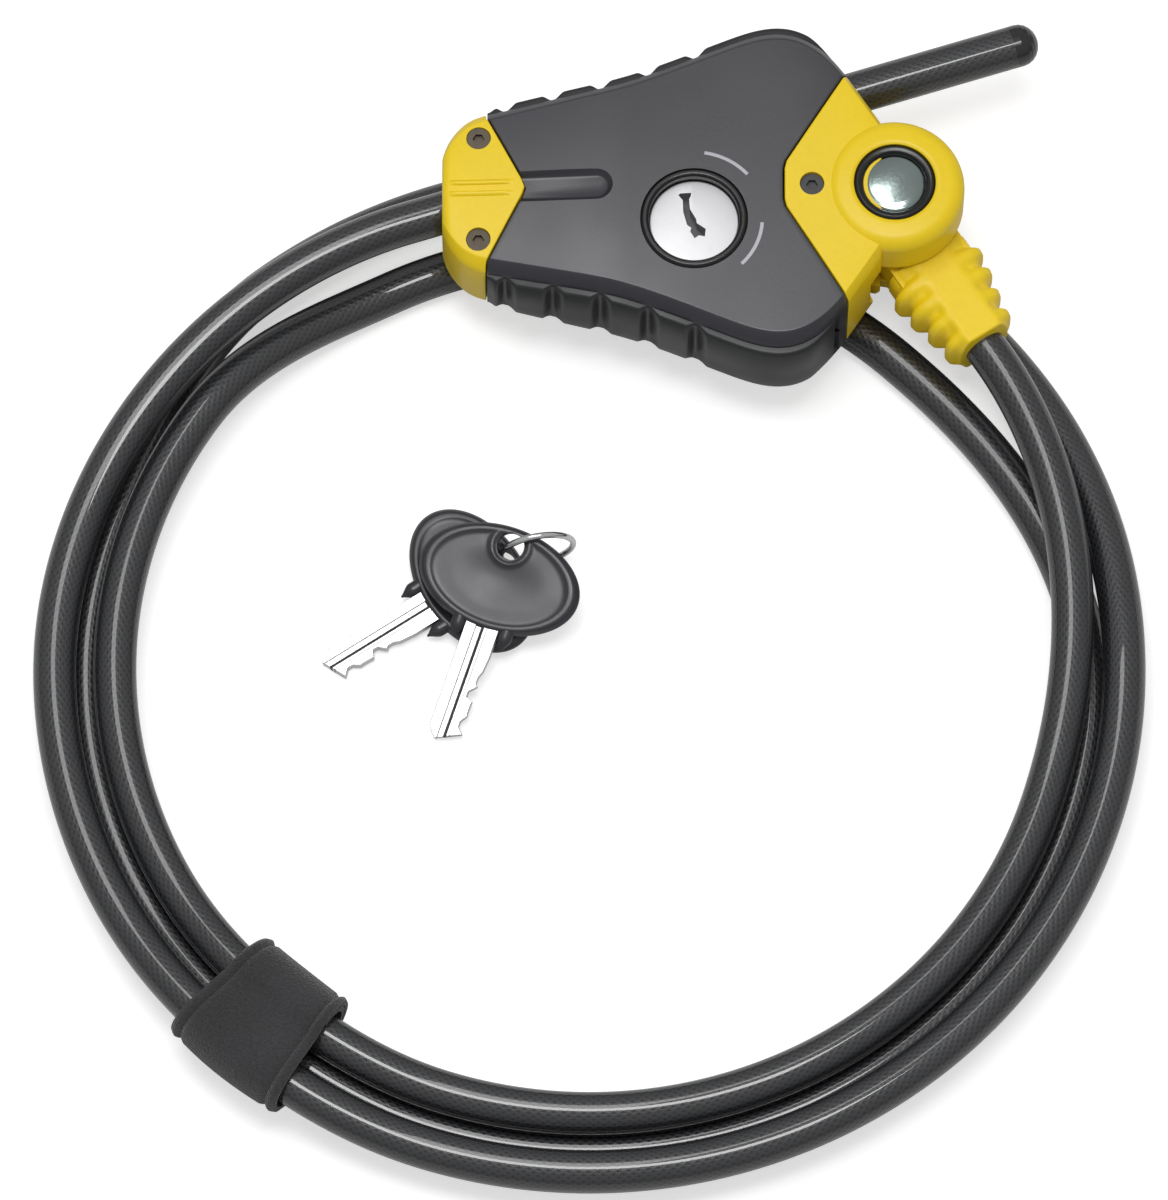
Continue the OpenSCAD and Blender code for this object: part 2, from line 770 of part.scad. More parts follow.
// ===== key cylinder

module cylinder_ring() {
    color("#18181a") at_cylinder() rotate_extrude() polygon([
        [plug_face_r + run_gap, housing_top], [bezel_r, housing_top], [bezel_r, bezel_top - 0.5],
        [bezel_r - 0.5, bezel_top], [plug_face_r + 0.5, bezel_top], [plug_face_r + run_gap, bezel_top - 0.45]
    ]);
}
module cylinder_housing() {
    color("goldenrod") difference() {
        union() {
            at_cylinder() disc(housing_r, housing_z0, housing_top - run_gap);
            key_frame() block([-bible_w / 2, -bible_r, core_bottom + 1.2], [bible_w / 2, 0, lug_top]);
        }
        at_cylinder() disc(plug_r + run_gap, 0, head_t);
        chambers(plug_r - 1, bible_r + 1, run_gap);
    }
}
// Radial holes or rods for the pins, from one radius to another
module chambers(r0, r1, g) {
    for (k = [0:tumbler_n - 1]) key_frame() translate([0, -r0, first_tumbler_z - k * tumbler_pitch])
        rotate([90, 0, 0]) cylinder(r = tumbler_r + g, h = r1 - r0, $fn = 24);
}
module key_plug() {
    kink = keyway_w * 0.35;
    color("#e9eaec") difference() {
        union() {
            at_cylinder() disc(plug_face_r, housing_top, plug_top);
            at_cylinder() disc(plug_r, housing_z0 - run_gap - clip_t, housing_top);
            at_cylinder() disc(tail_r, cam_z, housing_z0);
        }
        at_cylinder() difference() {
            disc(clip_r + 1, housing_z0 - run_gap - clip_t - slide_gap, housing_z0 - run_gap / 2);
            disc(clip_groove_r, 0, head_t);
        }
        key_frame() translate([0, 0, housing_z0 + 1]) linear_extrude(head_t) polygon([
            [-keyway_w / 2, key_reach], [keyway_w / 2, key_reach], [keyway_w / 2 + kink, key_reach + keyway_l * 0.3],
            [keyway_w / 2 - kink, key_reach + keyway_l * 0.5], [keyway_w / 2, key_reach + keyway_l],
            [-keyway_w / 2, key_reach + keyway_l], [-keyway_w / 2 - kink, key_reach + keyway_l * 0.5],
            [-keyway_w / 2 + kink, key_reach + keyway_l * 0.3]
        ]);
        chambers(-key_reach - max(cuts) - 0.1, plug_r + 1, run_gap);
    }
}
// Pins at the shear line, as the key holds them
module key_pins() {
    color("gold") intersection() {
        for (k = [0:tumbler_n - 1]) key_frame()
            translate([0, key_reach + cuts[k], first_tumbler_z - k * tumbler_pitch])
            rotate([90, 0, 0]) cylinder(r = tumbler_r, h = plug_r + 1 + key_reach + cuts[k], $fn = 24);
        at_cylinder() disc(plug_r - 0.02, 0, head_t);
    }
}
module driver_pins() {
    color("silver") difference() {
        chambers(plug_r - 1, plug_r + driver_l, 0);
        at_cylinder() disc(plug_r + 0.04, 0, head_t);
    }
}
module pin_springs() {
    color("gray") difference() {
        chambers(plug_r + driver_l, chamber_end, -0.1);
        chambers(plug_r + driver_l - 1, chamber_end + 1, -0.45);
    }
}
module plug_clip() {
    clip_top = housing_z0 - run_gap - 0.02;
    color("gray") at_cylinder() difference() {
        disc(clip_r, clip_top - clip_t, clip_top);
        disc(clip_groove_r + 0.02, 0, head_t);
        block([-clip_groove_r * 0.8, 0, 0], [clip_groove_r * 0.8, big, head_t]);
    }
}
// Spiral cam: its radius grows over a quarter turn and falls back after it
function cam_radius(a) =
    a <= 90 ? mix(cam_r, cam_r + grip_travel, a / 90)
    : a <= 90 + cam_fall ? mix(cam_r + grip_travel, cam_r, (a - 90) / cam_fall) : cam_r;
module tail_cam() {
    step = 5;
    color("slategray") difference() {
        bore_frame() translate([0, 0, cam_z]) linear_extrude(cam_t)
            polygon([for (a = [0:step:360 - step]) cam_radius(a) * [cos(a - 90), sin(a - 90)]]);
        at_cylinder() disc(tail_r + 0.02, 0, head_t);
    }
}

// ===== gripper

module gripper() {
    back = grip_gap - cable_r + 1 - grip_t;
    top = grip_gap - cable_r + 1;
    tooth_pitch = grip_l / tooth_n;
    color("steelblue") bore_frame() difference() {
        union() {
            block([-grip_l / 2, back, yoke_z], [grip_l / 2, top, mid_z + grip_half_h]);
            block([-yoke_side - yoke_bar, -cam_r - cam_gap - yoke_bar, yoke_z],
                [yoke_side + yoke_bar, back + 1, yoke_z + yoke_t]);
        }
        block([-yoke_side, -cam_r - cam_gap, 0], [yoke_side, yoke_front, yoke_z + yoke_t + 1]);
        translate([-grip_l, grip_gap, mid_z]) rotate([0, 90, 0]) cylinder(r = cable_r + groove_gap, h = 2 * grip_l);
        for (k = [0:tooth_n - 1])
            translate([-grip_l / 2 + (k + 0.25) * tooth_pitch, grip_gap, mid_z]) rotate([0, 90, 0])
                cylinder(r = cable_r + tooth_depth, h = tooth_pitch / 2);
        block([-grip_l, -big, yoke_z + yoke_t], [-grip_l / 2 + 0.01, big, head_t]);
    }
}
// Room in the back shell for the yoke and its travel
module yoke_space() {
    side = yoke_side + yoke_bar + seat_gap;
    far = cam_r + cam_gap + yoke_bar + grip_travel + seat_gap;
    block([-side, -far, floor_t], [side, grip_gap - cable_r + 1.2, core_bottom + core_step]);
}
module lug_space() {
    disc(clip_r + slide_gap, floor_t, core_bottom);
}
// Two springs between the core and the gripper's back
function spring_path(x) =
    let (back = grip_gap - cable_r + 1 - grip_t, n = 8 * spring_turns, l = spring_l - 2 * spring_wire - 0.1)
    [for (k = [0:n]) let (a = 360 * k / 8)
        [x + spring_r * cos(a), back - spring_wire - 0.05 - l * k / n, mid_z + spring_r * sin(a)]];
module gripper_springs() {
    color("silver") bore_frame() for (s = [-1, 1]) spring(spring_path(s * spring_at));
}
module spring(p) {
    loft([
        for (k = [0:len(p) - 1])
            let (d = path_dir(p, k, p[1] - p[0], end_dir(p)), s = unit(cross([0, 1, 0], d)), u = cross(d, s))
            [for (i = [0:5]) p[k] + spring_wire * (cos(60 * i) * s + sin(60 * i) * u)]
    ]);
}

// ===== swivel

module swivel_pin() {
    color("silver") translate(swivel_in) disc(swivel_pin_r, pin_z0, pin_top_z);
}
module boss_ring() {
    z0 = boss_top - ring_sink;
    color("#141416") translate(swivel_in) rotate_extrude() polygon([
        [ring_r_in + run_gap, z0], [ring_r_out, z0], [ring_r_out, boss_top - 0.2],
        [ring_r_out - 0.6, boss_top + 0.3], [ring_r_in + 0.5, boss_top + 0.1], [ring_r_in + run_gap, boss_top - 0.6]
    ]);
}
// Shallow dome over a flat disc
module boss_dome() {
    z0 = boss_top - ring_sink;
    rise = 0.9;
    edge_z = boss_top - 0.9;
    color("#dfe3e6") translate(swivel_in) rotate_extrude() polygon(concat(
        [[0, z0], [ring_r_in, z0]],
        [for (k = [0:8]) let (a = 90 * k / 8) [ring_r_in * cos(a), edge_z + rise * sin(a)]]
    ));
}
function boot_half_w(d) = mix(boot_w, boot_end_w, smooth((d - boot_neck) / (boot_l - boot_neck))) / 2;
function boot_high(d) = mix(boot_half_h, boot_end_half_h, (d - boot_neck) / (boot_l - boot_neck));
function rib(d) =
    let (pitch = (boot_l - boot_neck) / rib_n, t = (d - boot_neck) / pitch)
    rib_h * (smooth(2 * abs(t - floor(t) - 0.5)) - 0.5);
// Rounded section of the boot; the ribs fade where the smooth spine runs along its top
boot_sides = 16;
function boot_section(d) = [
    for (i = [0:boot_sides - 1])
        let (
            a = 360 * (i + 0.5) / boot_sides,
            squareness = 0.62,
            c = sign(cos(a)) * pow(abs(cos(a)), squareness),
            s = sign(sin(a)) * pow(abs(sin(a)), squareness)
        )
        [d, (boot_half_w(d) - rib(d)) * c, boot_mid_z + (boot_high(d) - rib(d) * 0.5) * s]
];
module boot() {
    steps = rib_n * boot_stations;
    color("#f4d311") translate(swivel_in) rotate([0, 0, boot_heading]) difference() {
        union() {
            disc(boot_eye_r, eye_z0, eye_z1);
            difference() {
                loft([for (k = [-3:steps]) boot_section(mix(boot_neck, boot_l, k / steps))]);
                disc(boot_neck, -1, head_t);
            }
            block([6, -boot_w / 2 + 1.5, eye_z0], [boot_neck + 1.5, boot_w / 2 - 1.5, eye_z1 - 1.2]);
            block([boot_neck + 0.6, -spine_half, boot_mid_z], [boot_l - 0.8, spine_half, spine_top]);
        }
        disc(eye_r + run_gap, 0, head_t);
        translate([0, 0, boot_mid_z]) rotate([0, 90, 0]) {
            translate([0, 0, shank_at - run_gap]) cylinder(r = shank_r + run_gap, h = shank_l - shank_at + 2 * run_gap);
            translate([0, 0, shank_l]) cylinder(r = cable_r + run_gap, h = boot_l);
        }
        block([0, -neck_half - run_gap, eye_z0 - 0.1], [shank_at + 0.5, neck_half + run_gap, neck_z1 + run_gap]);
    }
}
module swivel_eye() {
    color("lightgray") translate(swivel_in) rotate([0, 0, boot_heading]) difference() {
        union() {
            disc(eye_r, eye_z0 - 0.1, eye_z1 + 0.1);
            block([0, -neck_half, eye_z0], [shank_at + 0.5, neck_half, neck_z1]);
            translate([shank_at, 0, boot_mid_z]) rotate([0, 90, 0]) cylinder(r = shank_r, h = shank_l - shank_at);
        }
        disc(swivel_pin_r + run_gap, 0, head_t);
        translate([socket_at - slide_gap, 0, boot_mid_z]) rotate([0, 90, 0]) cylinder(r = cable_r + 0.02, h = big);
    }
}

// ===== cable

module cable_lead() {
    color("#2a2b2d") tube(lead_path, cable_r, lead_sides, boot_out(1) - boot_out(0), coil_start_dir);
}
module cable_coil() {
    color("#2a2b2d") tube(coil_path, cable_r, coil_sides, coil_start_dir, end_dir(coil_path));
}
module cable_grip_run() {
    color("#2a2b2d") tube([mouth, on_bore(tail_from_x)], cable_r, lead_sides, on_bore(1) - on_bore(0), on_bore(1) - on_bore(0));
}
module cable_tail() {
    color("#2a2b2d") bore_rod(cable_r, tail_from_x, tail_from_x + tail_l * cos(bore_angle));
}
module cable_tip() {
    color("#1c1c1e") translate(on_bore(tail_from_x + tail_l * cos(bore_angle))) rotate([0, 90, bore_angle])
        rotate_extrude() polygon(concat(
            [[0, 0], [cable_r, 0]],
            [for (k = [0:6]) let (a = 15 * k) [cable_r * cos(a), tip_l - 0.9 * cable_r * (1 - sin(a))]]
        ));
}

// ===== strap: a band bent round three strands

strap_a = strap_w / mid_lap_r * 180 / PI;
strand_at = [
    [coil_r, high_z + hump_h], [mid_lap_r, low_z + hump_h], [coil_r + coil_step, high_z + hump_h]
];
// Outline round three circles, each corner an arc between the outward directions of its two sides
function out_dir(a, b) = let (d = b - a) atan2(-d[0], d[1]);
function band(r) = [
    for (k = [0:2])
        let (
            p = strand_at[k],
            before = out_dir(strand_at[(k + 2) % 3], p),
            after = out_dir(p, strand_at[(k + 1) % 3]),
            span = (after - before + 2 * 360) % 360
        )
        for (j = [0:6]) let (a = before + span * j / 6) p + r * [cos(a), sin(a)]
];
module strap() {
    inner = cable_r + strap_pad;
    color("#1f1f21") translate([coil_c[0], coil_c[1], 0]) rotate([0, 0, strap_at - strap_a / 2]) difference() {
        rotate_extrude(angle = strap_a, $fn = 240) polygon(band(inner + strap_t));
        rotate([0, 0, -1]) rotate_extrude(angle = strap_a + 2, $fn = 240) polygon(band(inner));
    }
}

// ===== keys, drawn flat with the hole at the origin and the blade along +X

function oval(w, h, n = 40) = [for (k = [0:n - 1]) let (a = 360 * k / n) [h / 2 * cos(a), w / 2 * sin(a)]];
module place_key(hole, heading, tilt) {
    translate(hole) rotate([0, tilt, heading]) children();
}
module bow() {
    difference() {
        translate([bow_hole_off, 0, 0]) difference() {
            translate([0, 0, -bow_t / 2]) linear_extrude(bow_t) polygon(oval(bow_w, bow_h));
            for (s = [-1, 1]) translate([0, 0, s > 0 ? web_t / 2 : -web_t / 2 - bow_t])
                linear_extrude(bow_t) polygon(oval(bow_w - 2 * rim_w, bow_h - 2 * rim_w));
            block([bow_h / 2 - 4, -blade_w / 2 - 0.02, -blade_t / 2 - 0.02], [bow_h, blade_w / 2 + 0.02, blade_t / 2 + 0.02]);
        }
        cylinder(r = bow_hole_r, h = big, center = true);
    }
}
// Blade with a pointed tip, four cuts and a groove along each side
module blade() {
    x0 = bow_hole_off + bow_h / 2 - 4;
    tip = key_l;
    cut_at = tip - 4;
    difference() {
        linear_extrude(blade_t, center = true) polygon(concat(
            [[x0, -blade_w / 2], [tip - 2, -blade_w / 2], [tip, -blade_w / 2 + 1.6], [tip - 2.2, blade_w / 2]],
            [for (k = [0:tumbler_n - 1]) each [
                [cut_at - k * tumbler_pitch + 0.6, blade_w / 2 - cuts[k]],
                [cut_at - k * tumbler_pitch - 0.4, blade_w / 2 - cuts[k]],
                [cut_at - (k + 0.6) * tumbler_pitch, blade_w / 2 - 0.3]
            ]],
            [[cut_at - 4.6 * tumbler_pitch, blade_w / 2], [x0, blade_w / 2]]
        ));
        for (s = [-1, 1]) translate([0, -0.6, s * blade_t / 2])
            cube([2 * key_l, 1.1, 0.6], center = true);
    }
}
module key_1_blade() {
    color("silver") place_key(key_1_hole, key_1_heading, key_1_tilt) blade();
}
module key_1_bow() {
    color("#2b2b2d") place_key(key_1_hole, key_1_heading, key_1_tilt) bow();
}
module key_2_blade() {
    color("silver") place_key(key_2_hole, key_2_heading, key_2_tilt) blade();
}
module key_2_bow() {
    color("#2b2b2d") place_key(key_2_hole, key_2_heading, key_2_tilt) bow();
}
module key_ring() {
    color("silver") translate(ring_c)
        rotate([0, acos(ring_n[2] / norm(ring_n)), atan2(ring_n[1], ring_n[0])])
        rotate_extrude() translate([ring_r, 0]) circle(r = ring_wire_r, $fn = 16);
}

front_shell();
back_shell();
upper_grip();
lower_grip();
left_end_cap();
right_end_cap();
left_cap_screws();
right_cap_screw();
housing_screws();
lock_core();
cylinder_ring();
cylinder_housing();
key_plug();
key_pins();
driver_pins();
pin_springs();
plug_clip();
tail_cam();
gripper();
gripper_springs();
swivel_pin();
boss_ring();
boss_dome();
boot();
swivel_eye();
cable_lead();
cable_coil();
cable_grip_run();
cable_tail();
cable_tip();
strap();
key_1_blade();
key_1_bow();
key_2_blade();
key_2_bow();
key_ring();
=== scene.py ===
import math

import bmesh
import bpy
import numpy as np
from mathutils import Matrix, Vector


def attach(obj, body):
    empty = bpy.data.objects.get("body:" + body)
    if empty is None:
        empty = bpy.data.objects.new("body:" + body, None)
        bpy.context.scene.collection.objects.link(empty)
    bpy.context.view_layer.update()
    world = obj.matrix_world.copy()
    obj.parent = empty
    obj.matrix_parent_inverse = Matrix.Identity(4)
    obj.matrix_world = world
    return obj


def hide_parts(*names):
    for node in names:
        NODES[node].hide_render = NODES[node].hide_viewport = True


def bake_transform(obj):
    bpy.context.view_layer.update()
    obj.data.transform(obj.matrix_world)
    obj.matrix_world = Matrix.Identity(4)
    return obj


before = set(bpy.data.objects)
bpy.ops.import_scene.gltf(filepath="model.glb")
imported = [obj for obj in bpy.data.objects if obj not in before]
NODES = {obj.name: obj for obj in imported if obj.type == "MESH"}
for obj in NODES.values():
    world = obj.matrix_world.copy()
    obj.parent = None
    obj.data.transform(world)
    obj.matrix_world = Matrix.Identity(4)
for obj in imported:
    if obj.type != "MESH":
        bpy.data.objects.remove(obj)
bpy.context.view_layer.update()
MM = 0.001
scene = bpy.context.scene
scene.view_settings.view_transform = "Standard"


# ---------------------------------------------------------------- camera
def add_camera():
    data = bpy.data.cameras.new("camera")
    cam = bpy.data.objects.new("camera", data)
    scene.collection.objects.link(cam)
    data.sensor_fit = "HORIZONTAL"
    film, far, seen_width, up_degrees = 36, 2400, 217.3, 69
    data.sensor_width = film
    data.lens = film * far / seen_width
    data.clip_start = 0.05
    data.clip_end = 20
    up = math.radians(up_degrees)
    target = Vector((-20.5, -74.0, 0)) * MM
    cam.location = target + Vector((0, -math.cos(up), math.sin(up))) * far * MM
    cam.rotation_euler = (math.radians(90 - up_degrees), 0, 0)
    scene.camera = cam


add_camera()

# ---------------------------------------------------------------- the part's own sizes, in mm
HEAD_T, LEFT, RIGHT = 24.0, 47.0, 28.7
MID = HEAD_T / 2
ROLL_H, ROLL_W = 3.4, 2.3
BORE = math.radians(17.5)
BORE_R = 4.3
CABLE_R = 4.0
CYLINDER = np.array([0, -7])
SWIVEL = np.array([37.4, 0, 0])
SWIVEL_Z = 7.5
BOOT_DIR = math.radians(-57)
BOOT_L, BOOT_NECK = 31.0, 13.6
TAIL_X, TAIL_L = 31.4, 30.0
FLOOR_Z = -8.2
EDGE_R = 0.3


def smooth(t):
    t = np.clip(t, 0, 1)
    return t * t * (3 - 2 * t)


def half_width(x):
    """Half the head's width at x."""
    x = np.asarray(x, float)
    flank = 14.2 + 0.218 * (x + LEFT) + 5.1 * smooth((x + 18) / 39)
    body = flank - 12.9 * (np.clip(x - 6, 0, 22.7) / 22.7) ** 3 - 6 * (np.clip(-38 - x, 0, 9) / 9) ** 3
    return np.where(x <= RIGHT, body, flank_end() - 1.5 * (x - RIGHT))


def flank_end():
    """Half the head's width where its flanks end, at x = RIGHT."""
    return 14.2 + 0.218 * (RIGHT + LEFT) + 5.1 - 12.9


def face_z(x):
    """Height of the face's middle line: it falls towards the left end."""
    return HEAD_T - 2.5 * smooth((-12 - np.asarray(x, float)) / 35)


def crown(p):
    """How much lower the face lies at share p of its width."""
    return 0.6 * p * p


def on_bore(x):
    """Point of the cable's straight passage through the head."""
    return np.array([x, 13.8 + x * math.tan(BORE), MID])


def boot_out(d):
    """Point on the boot's axis, at a distance d from the swivel's pin."""
    return SWIVEL + np.array([d * math.cos(BOOT_DIR), d * math.sin(BOOT_DIR), SWIVEL_Z])


# ---------------------------------------------------------------- mesh helpers
def link(name, verts, faces, body, smooth_angle=40):
    me = bpy.data.meshes.new(name)
    corners = [tuple(float(c) * MM for c in v) for v in verts]
    me.from_pydata(corners, [], [tuple(int(i) for i in f) for f in faces])
    me.validate()
    o = bpy.data.objects.new(name, me)
    scene.collection.objects.link(o)
    clean(o, smooth_angle)
    if body:
        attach(o, body)
    return o


def clean(o, smooth_angle=40):
    bm = bmesh.new()
    bm.from_mesh(o.data)
    bmesh.ops.remove_doubles(bm, verts=bm.verts, dist=2e-6)
    bmesh.ops.recalc_face_normals(bm, faces=bm.faces)
    for f in bm.faces:
        f.smooth = True
    for e in bm.edges:
        e.smooth = len(e.link_faces) == 2 and e.calc_face_angle(0) < math.radians(smooth_angle)
    bm.to_mesh(o.data)
    bm.free()


def grid_faces(n, m, start=0, flip=False):
    """Faces of a grid of n rows of m points."""
    out = []
    for j in range(n - 1):
        for i in range(m - 1):
            a = start + j * m + i
            b = a + m
            q = (a, a + 1, b + 1, b)
            out.append(q[::-1] if flip else q)
    return out


def pillow(name, top, bottom, body, smooth_angle=40):
    """A closed piece between two sheets of the same grid."""
    n, m = top.shape[:2]
    verts = np.concatenate([top.reshape(-1, 3), bottom.reshape(-1, 3)])
    k = n * m
    faces = grid_faces(n, m) + grid_faces(n, m, k, True)
    for j in range(n - 1):
        for i in (0, m - 1):
            faces.append((j * m + i, (j + 1) * m + i, k + (j + 1) * m + i, k + j * m + i))
    for i in range(m - 1):
        for j in (0, n - 1):
            faces.append((j * m + i, j * m + i + 1, k + j * m + i + 1, k + j * m + i))
    return link(name, verts, faces, body, smooth_angle)


def loft(name, rings, body, smooth_angle=40):
    """A closed piece through rings of the same number of points, with flat ends."""
    rings = np.asarray(rings, float)
    n, m = rings.shape[:2]
    faces = []
    for j in range(n - 1):
        for i in range(m):
            a, b = j * m + i, j * m + (i + 1) % m
            faces.append((a, b, b + m, a + m))
    faces += [tuple(range(m))[::-1], tuple((n - 1) * m + i for i in range(m))]
    return link(name, rings.reshape(-1, 3), faces, body, smooth_angle)


def revolve(name, profile, centre, steps=96):
    """A ring: profile is a closed line of (radius, z) pairs, turned about a vertical line."""
    r, z = np.asarray(profile, float).T
    m = len(r)
    turns = np.linspace(0, 2 * math.pi, steps, endpoint=False)
    x0, y0, z0 = centre
    rings = [np.stack([x0 + r * math.cos(t), y0 + r * math.sin(t), z0 + z], 1) for t in turns]
    faces = []
    for j in range(steps):
        k = (j + 1) % steps
        for i in range(m):
            i2 = (i + 1) % m
            faces.append((j * m + i, k * m + i, k * m + i2, j * m + i2))
    return link(name, np.concatenate(rings), faces, None)


def join(name, parts):
    """The parts as one object, with the first part's place and finish."""
    bm = bmesh.new()
    for p in parts:
        bm.from_mesh(p.data)
    me = parts[0].data
    bm.to_mesh(me)
    bm.free()
    for p in parts[1:]:
        bpy.data.objects.remove(p)
    parts[0].name = name
    return parts[0]


def cut(o, cutters, smooth_angle=40, folded=False):
    """Exact boolean differences, applied. A folded sheet may touch itself."""
    for c in cutters:
        mod = o.modifiers.new("cut", "BOOLEAN")
        mod.operation = "DIFFERENCE"
        mod.solver = "EXACT"
        mod.use_self = folded
        mod.object = c
        bpy.context.view_layer.update()
        got = bpy.data.meshes.new_from_object(o.evaluated_get(bpy.context.evaluated_depsgraph_get()))
        o.modifiers.clear()
        o.data = got
    for c in cutters:
        bpy.data.objects.remove(c)
    clean(o, smooth_angle)
    return o


def rod(name, a, b, r, sides=64):
    a, b = np.asarray(a, float), np.asarray(b, float)
    return tube_mesh(name, np.array([a, b]), r, sides)


def side_vectors(path):
    """Two side vectors at each point of a path, carried along it without twist."""
    path = np.asarray(path, float)
    d = np.gradient(path, axis=0)
    d /= np.linalg.norm(d, axis=1)[:, None]
    s = np.cross([0, 0, 1.0], d[0])
    if np.linalg.norm(s) < 1e-6:
        s = np.array([1.0, 0, 0])
    s /= np.linalg.norm(s)
    out = []
    for t in d:
        s = s - t * (s @ t)
        s /= np.linalg.norm(s)
        out.append((s.copy(), np.cross(t, s)))
    return out


def tube_mesh(name, path, r, sides=32, body=None, start=0.0):
    """Tube with a UV map in metres: u round it, v along it."""
    path = np.asarray(path, float)
    n = len(path)
    a = np.linspace(0, 2 * math.pi, sides, endpoint=False)
    cos, sin = np.cos(a)[:, None], np.sin(a)[:, None]
    verts = np.concatenate([p + r * (cos * s + sin * u) for p, (s, u) in zip(path, side_vectors(path))])
    faces = []
    for j in range(n - 1):
        for i in range(sides):
            a, b = j * sides + i, j * sides + (i + 1) % sides
            faces.append((a, b, b + sides, a + sides))
    faces += [tuple(range(sides))[::-1], tuple((n - 1) * sides + i for i in range(sides))]
    o = link(name, verts, faces, body)
    along = start + np.concatenate([[0], np.cumsum(np.linalg.norm(np.diff(path, axis=0), axis=1))])
    uv = o.data.uv_layers.new(name="UVMap")
    girth = 2 * math.pi * CABLE_R
    for poly in o.data.polygons:
        idx = [o.data.loops[k].vertex_index for k in poly.loop_indices]
        cols = [i % sides for i in idx]
        over = max(cols) - min(cols) > sides / 2
        for k, i, c in zip(poly.loop_indices, idx, cols):
            cc = c + sides if over and c < sides / 2 else c
            uv.data[k].uv = (cc / sides * girth * MM, along[i // sides] * MM)
    return o


# ---------------------------------------------------------------- cable
C = np.array([-19.5, -87.6])
LOW, HIGH = -4.2, 2.3
STRAP_AT = 230.0
TAPE = 1.1
# lifts the strands by two layers of tape, where the strap passes under them
HUMP = 2 * TAPE + 0.05


def polar(p):
    """A point's distance from the coil's middle, and its direction in degrees."""
    return math.hypot(p[0] - C[0], p[1] - C[1]), math.degrees(math.atan2(p[1] - C[1], p[0] - C[0]))


BOOT_END = boot_out(BOOT_L)
RUN_IN = on_bore(-LEFT - 8 * math.cos(BORE))
START_A = polar(BOOT_END)[1]
SWEEP = START_A + 1080 - polar(RUN_IN)[1]
# degrees along the coil, radius and height, at the places where the radius or the height changes
ROWS = [(0, polar(BOOT_END)[0], SWIVEL_Z), (58, 88, HIGH), (255, 88, HIGH), (284, 85.6, LOW),
        (352, 85.6, LOW), (408, 93.4, LOW), (600, 93.4, LOW), (632, 98.8, LOW), (712, 100.4, LOW),
        (762, 99.2, HIGH), (938, 99.2, HIGH), (SWEEP, polar(RUN_IN)[0], MID)]


def coil_point(s):
    """The cable's centre at s degrees along the coil, raised where the strap passes under it."""
    k = 0
    while k < len(ROWS) - 2 and s > ROWS[k + 1][0]:
        k += 1
    t = (s - ROWS[k][0]) / (ROWS[k + 1][0] - ROWS[k][0])
    e = t * t * (3 - 2 * t)
    er = t + t * t - t ** 3 if k == 0 else 2 * t * t - t ** 3 if k == len(ROWS) - 2 else e
    r = ROWS[k][1] + (ROWS[k + 1][1] - ROWS[k][1]) * er
    z = ROWS[k][2] + (ROWS[k + 1][2] - ROWS[k][2]) * e
    a = START_A - s
    off = abs((a + 1080 - STRAP_AT + 540) % 360 - 180)
    z += HUMP * (1 - float(smooth(off / 22)))
    return np.array([C[0] + r * math.cos(math.radians(a)), C[1] + r * math.sin(math.radians(a)), z])


LEAD_SWEEP = 15
lead_path = [boot_out(d) for d in (BOOT_NECK, 18, 22, 26, 29)]
lead_path += [coil_point(s) for s in np.linspace(0, LEAD_SWEEP, 14)]
lead_len = sum(np.linalg.norm(np.diff(np.array(lead_path), axis=0), axis=1))
coil_path = [coil_point(s) for s in np.arange(LEAD_SWEEP, SWEEP, 0.75)]
bore_xs = [[RUN_IN[0]], np.linspace(-50, -44, 5), np.linspace(-38, TAIL_X + TAIL_L * math.cos(BORE), 24)]
coil_path += [on_bore(x) for x in np.concatenate(bore_xs)]
coil_path = np.array(coil_path)
lead = tube_mesh("cable_lead_out", lead_path, CABLE_R, 40)
cable = tube_mesh("cable", coil_path, CABLE_R, 32, "lock_head", start=lead_len)
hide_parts("cable_lead")
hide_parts("cable_coil", "cable_grip_run", "cable_tail")
tuple(coil_point(LEAD_SWEEP) * MM)
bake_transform(lead)

# ---------------------------------------------------------------- strap
STRAP_W = 22.0


def strap_outline(r, steps=20):
    """A taut line at a distance r round the centres of the three strands."""
    pts = np.array([[88, HIGH + HUMP], [93.4, LOW + HUMP], [99.2, HIGH + HUMP]])
    out = []
    for k in range(3):
        p, a, b = pts[k], pts[(k + 2) % 3], pts[(k + 1) % 3]
        before = math.atan2(-(p - a)[0], (p - a)[1])
        after = math.atan2(-(b - p)[0], (b - p)[1])
        span = (after - before) % (2 * math.pi)
        for j in range(steps + 1):
            t = before + span * j / steps
            out.append(p + r * np.array([math.cos(t), math.sin(t)]))
    return np.array(out)


def even(points, n, wrap):
    """n points evenly along a closed outline, carried on to wrap times its length, and that length."""
    p = np.concatenate([points, points[:1]])
    seg = np.linalg.norm(np.diff(p, axis=0), axis=1)
    s = np.concatenate([[0], np.cumsum(seg)])
    want = np.linspace(0, wrap, n) * s[-1]
    keep = want % s[-1]
    return np.stack([np.interp(keep, s, p[:, 0]), np.interp(keep, s, p[:, 1])], 1), s[-1]


def strap_out(base, j, mid):
    """The way out of the strap's outline at its point j."""
    p = base[j]
    tan = base[j + 1] - p if j < len(base) - 1 else p - base[j - 1]
    tan = tan / max(np.linalg.norm(tan), 1e-9)
    out = np.array([tan[1], -tan[0]])
    return -out if out @ (p - mid) < 0 else out


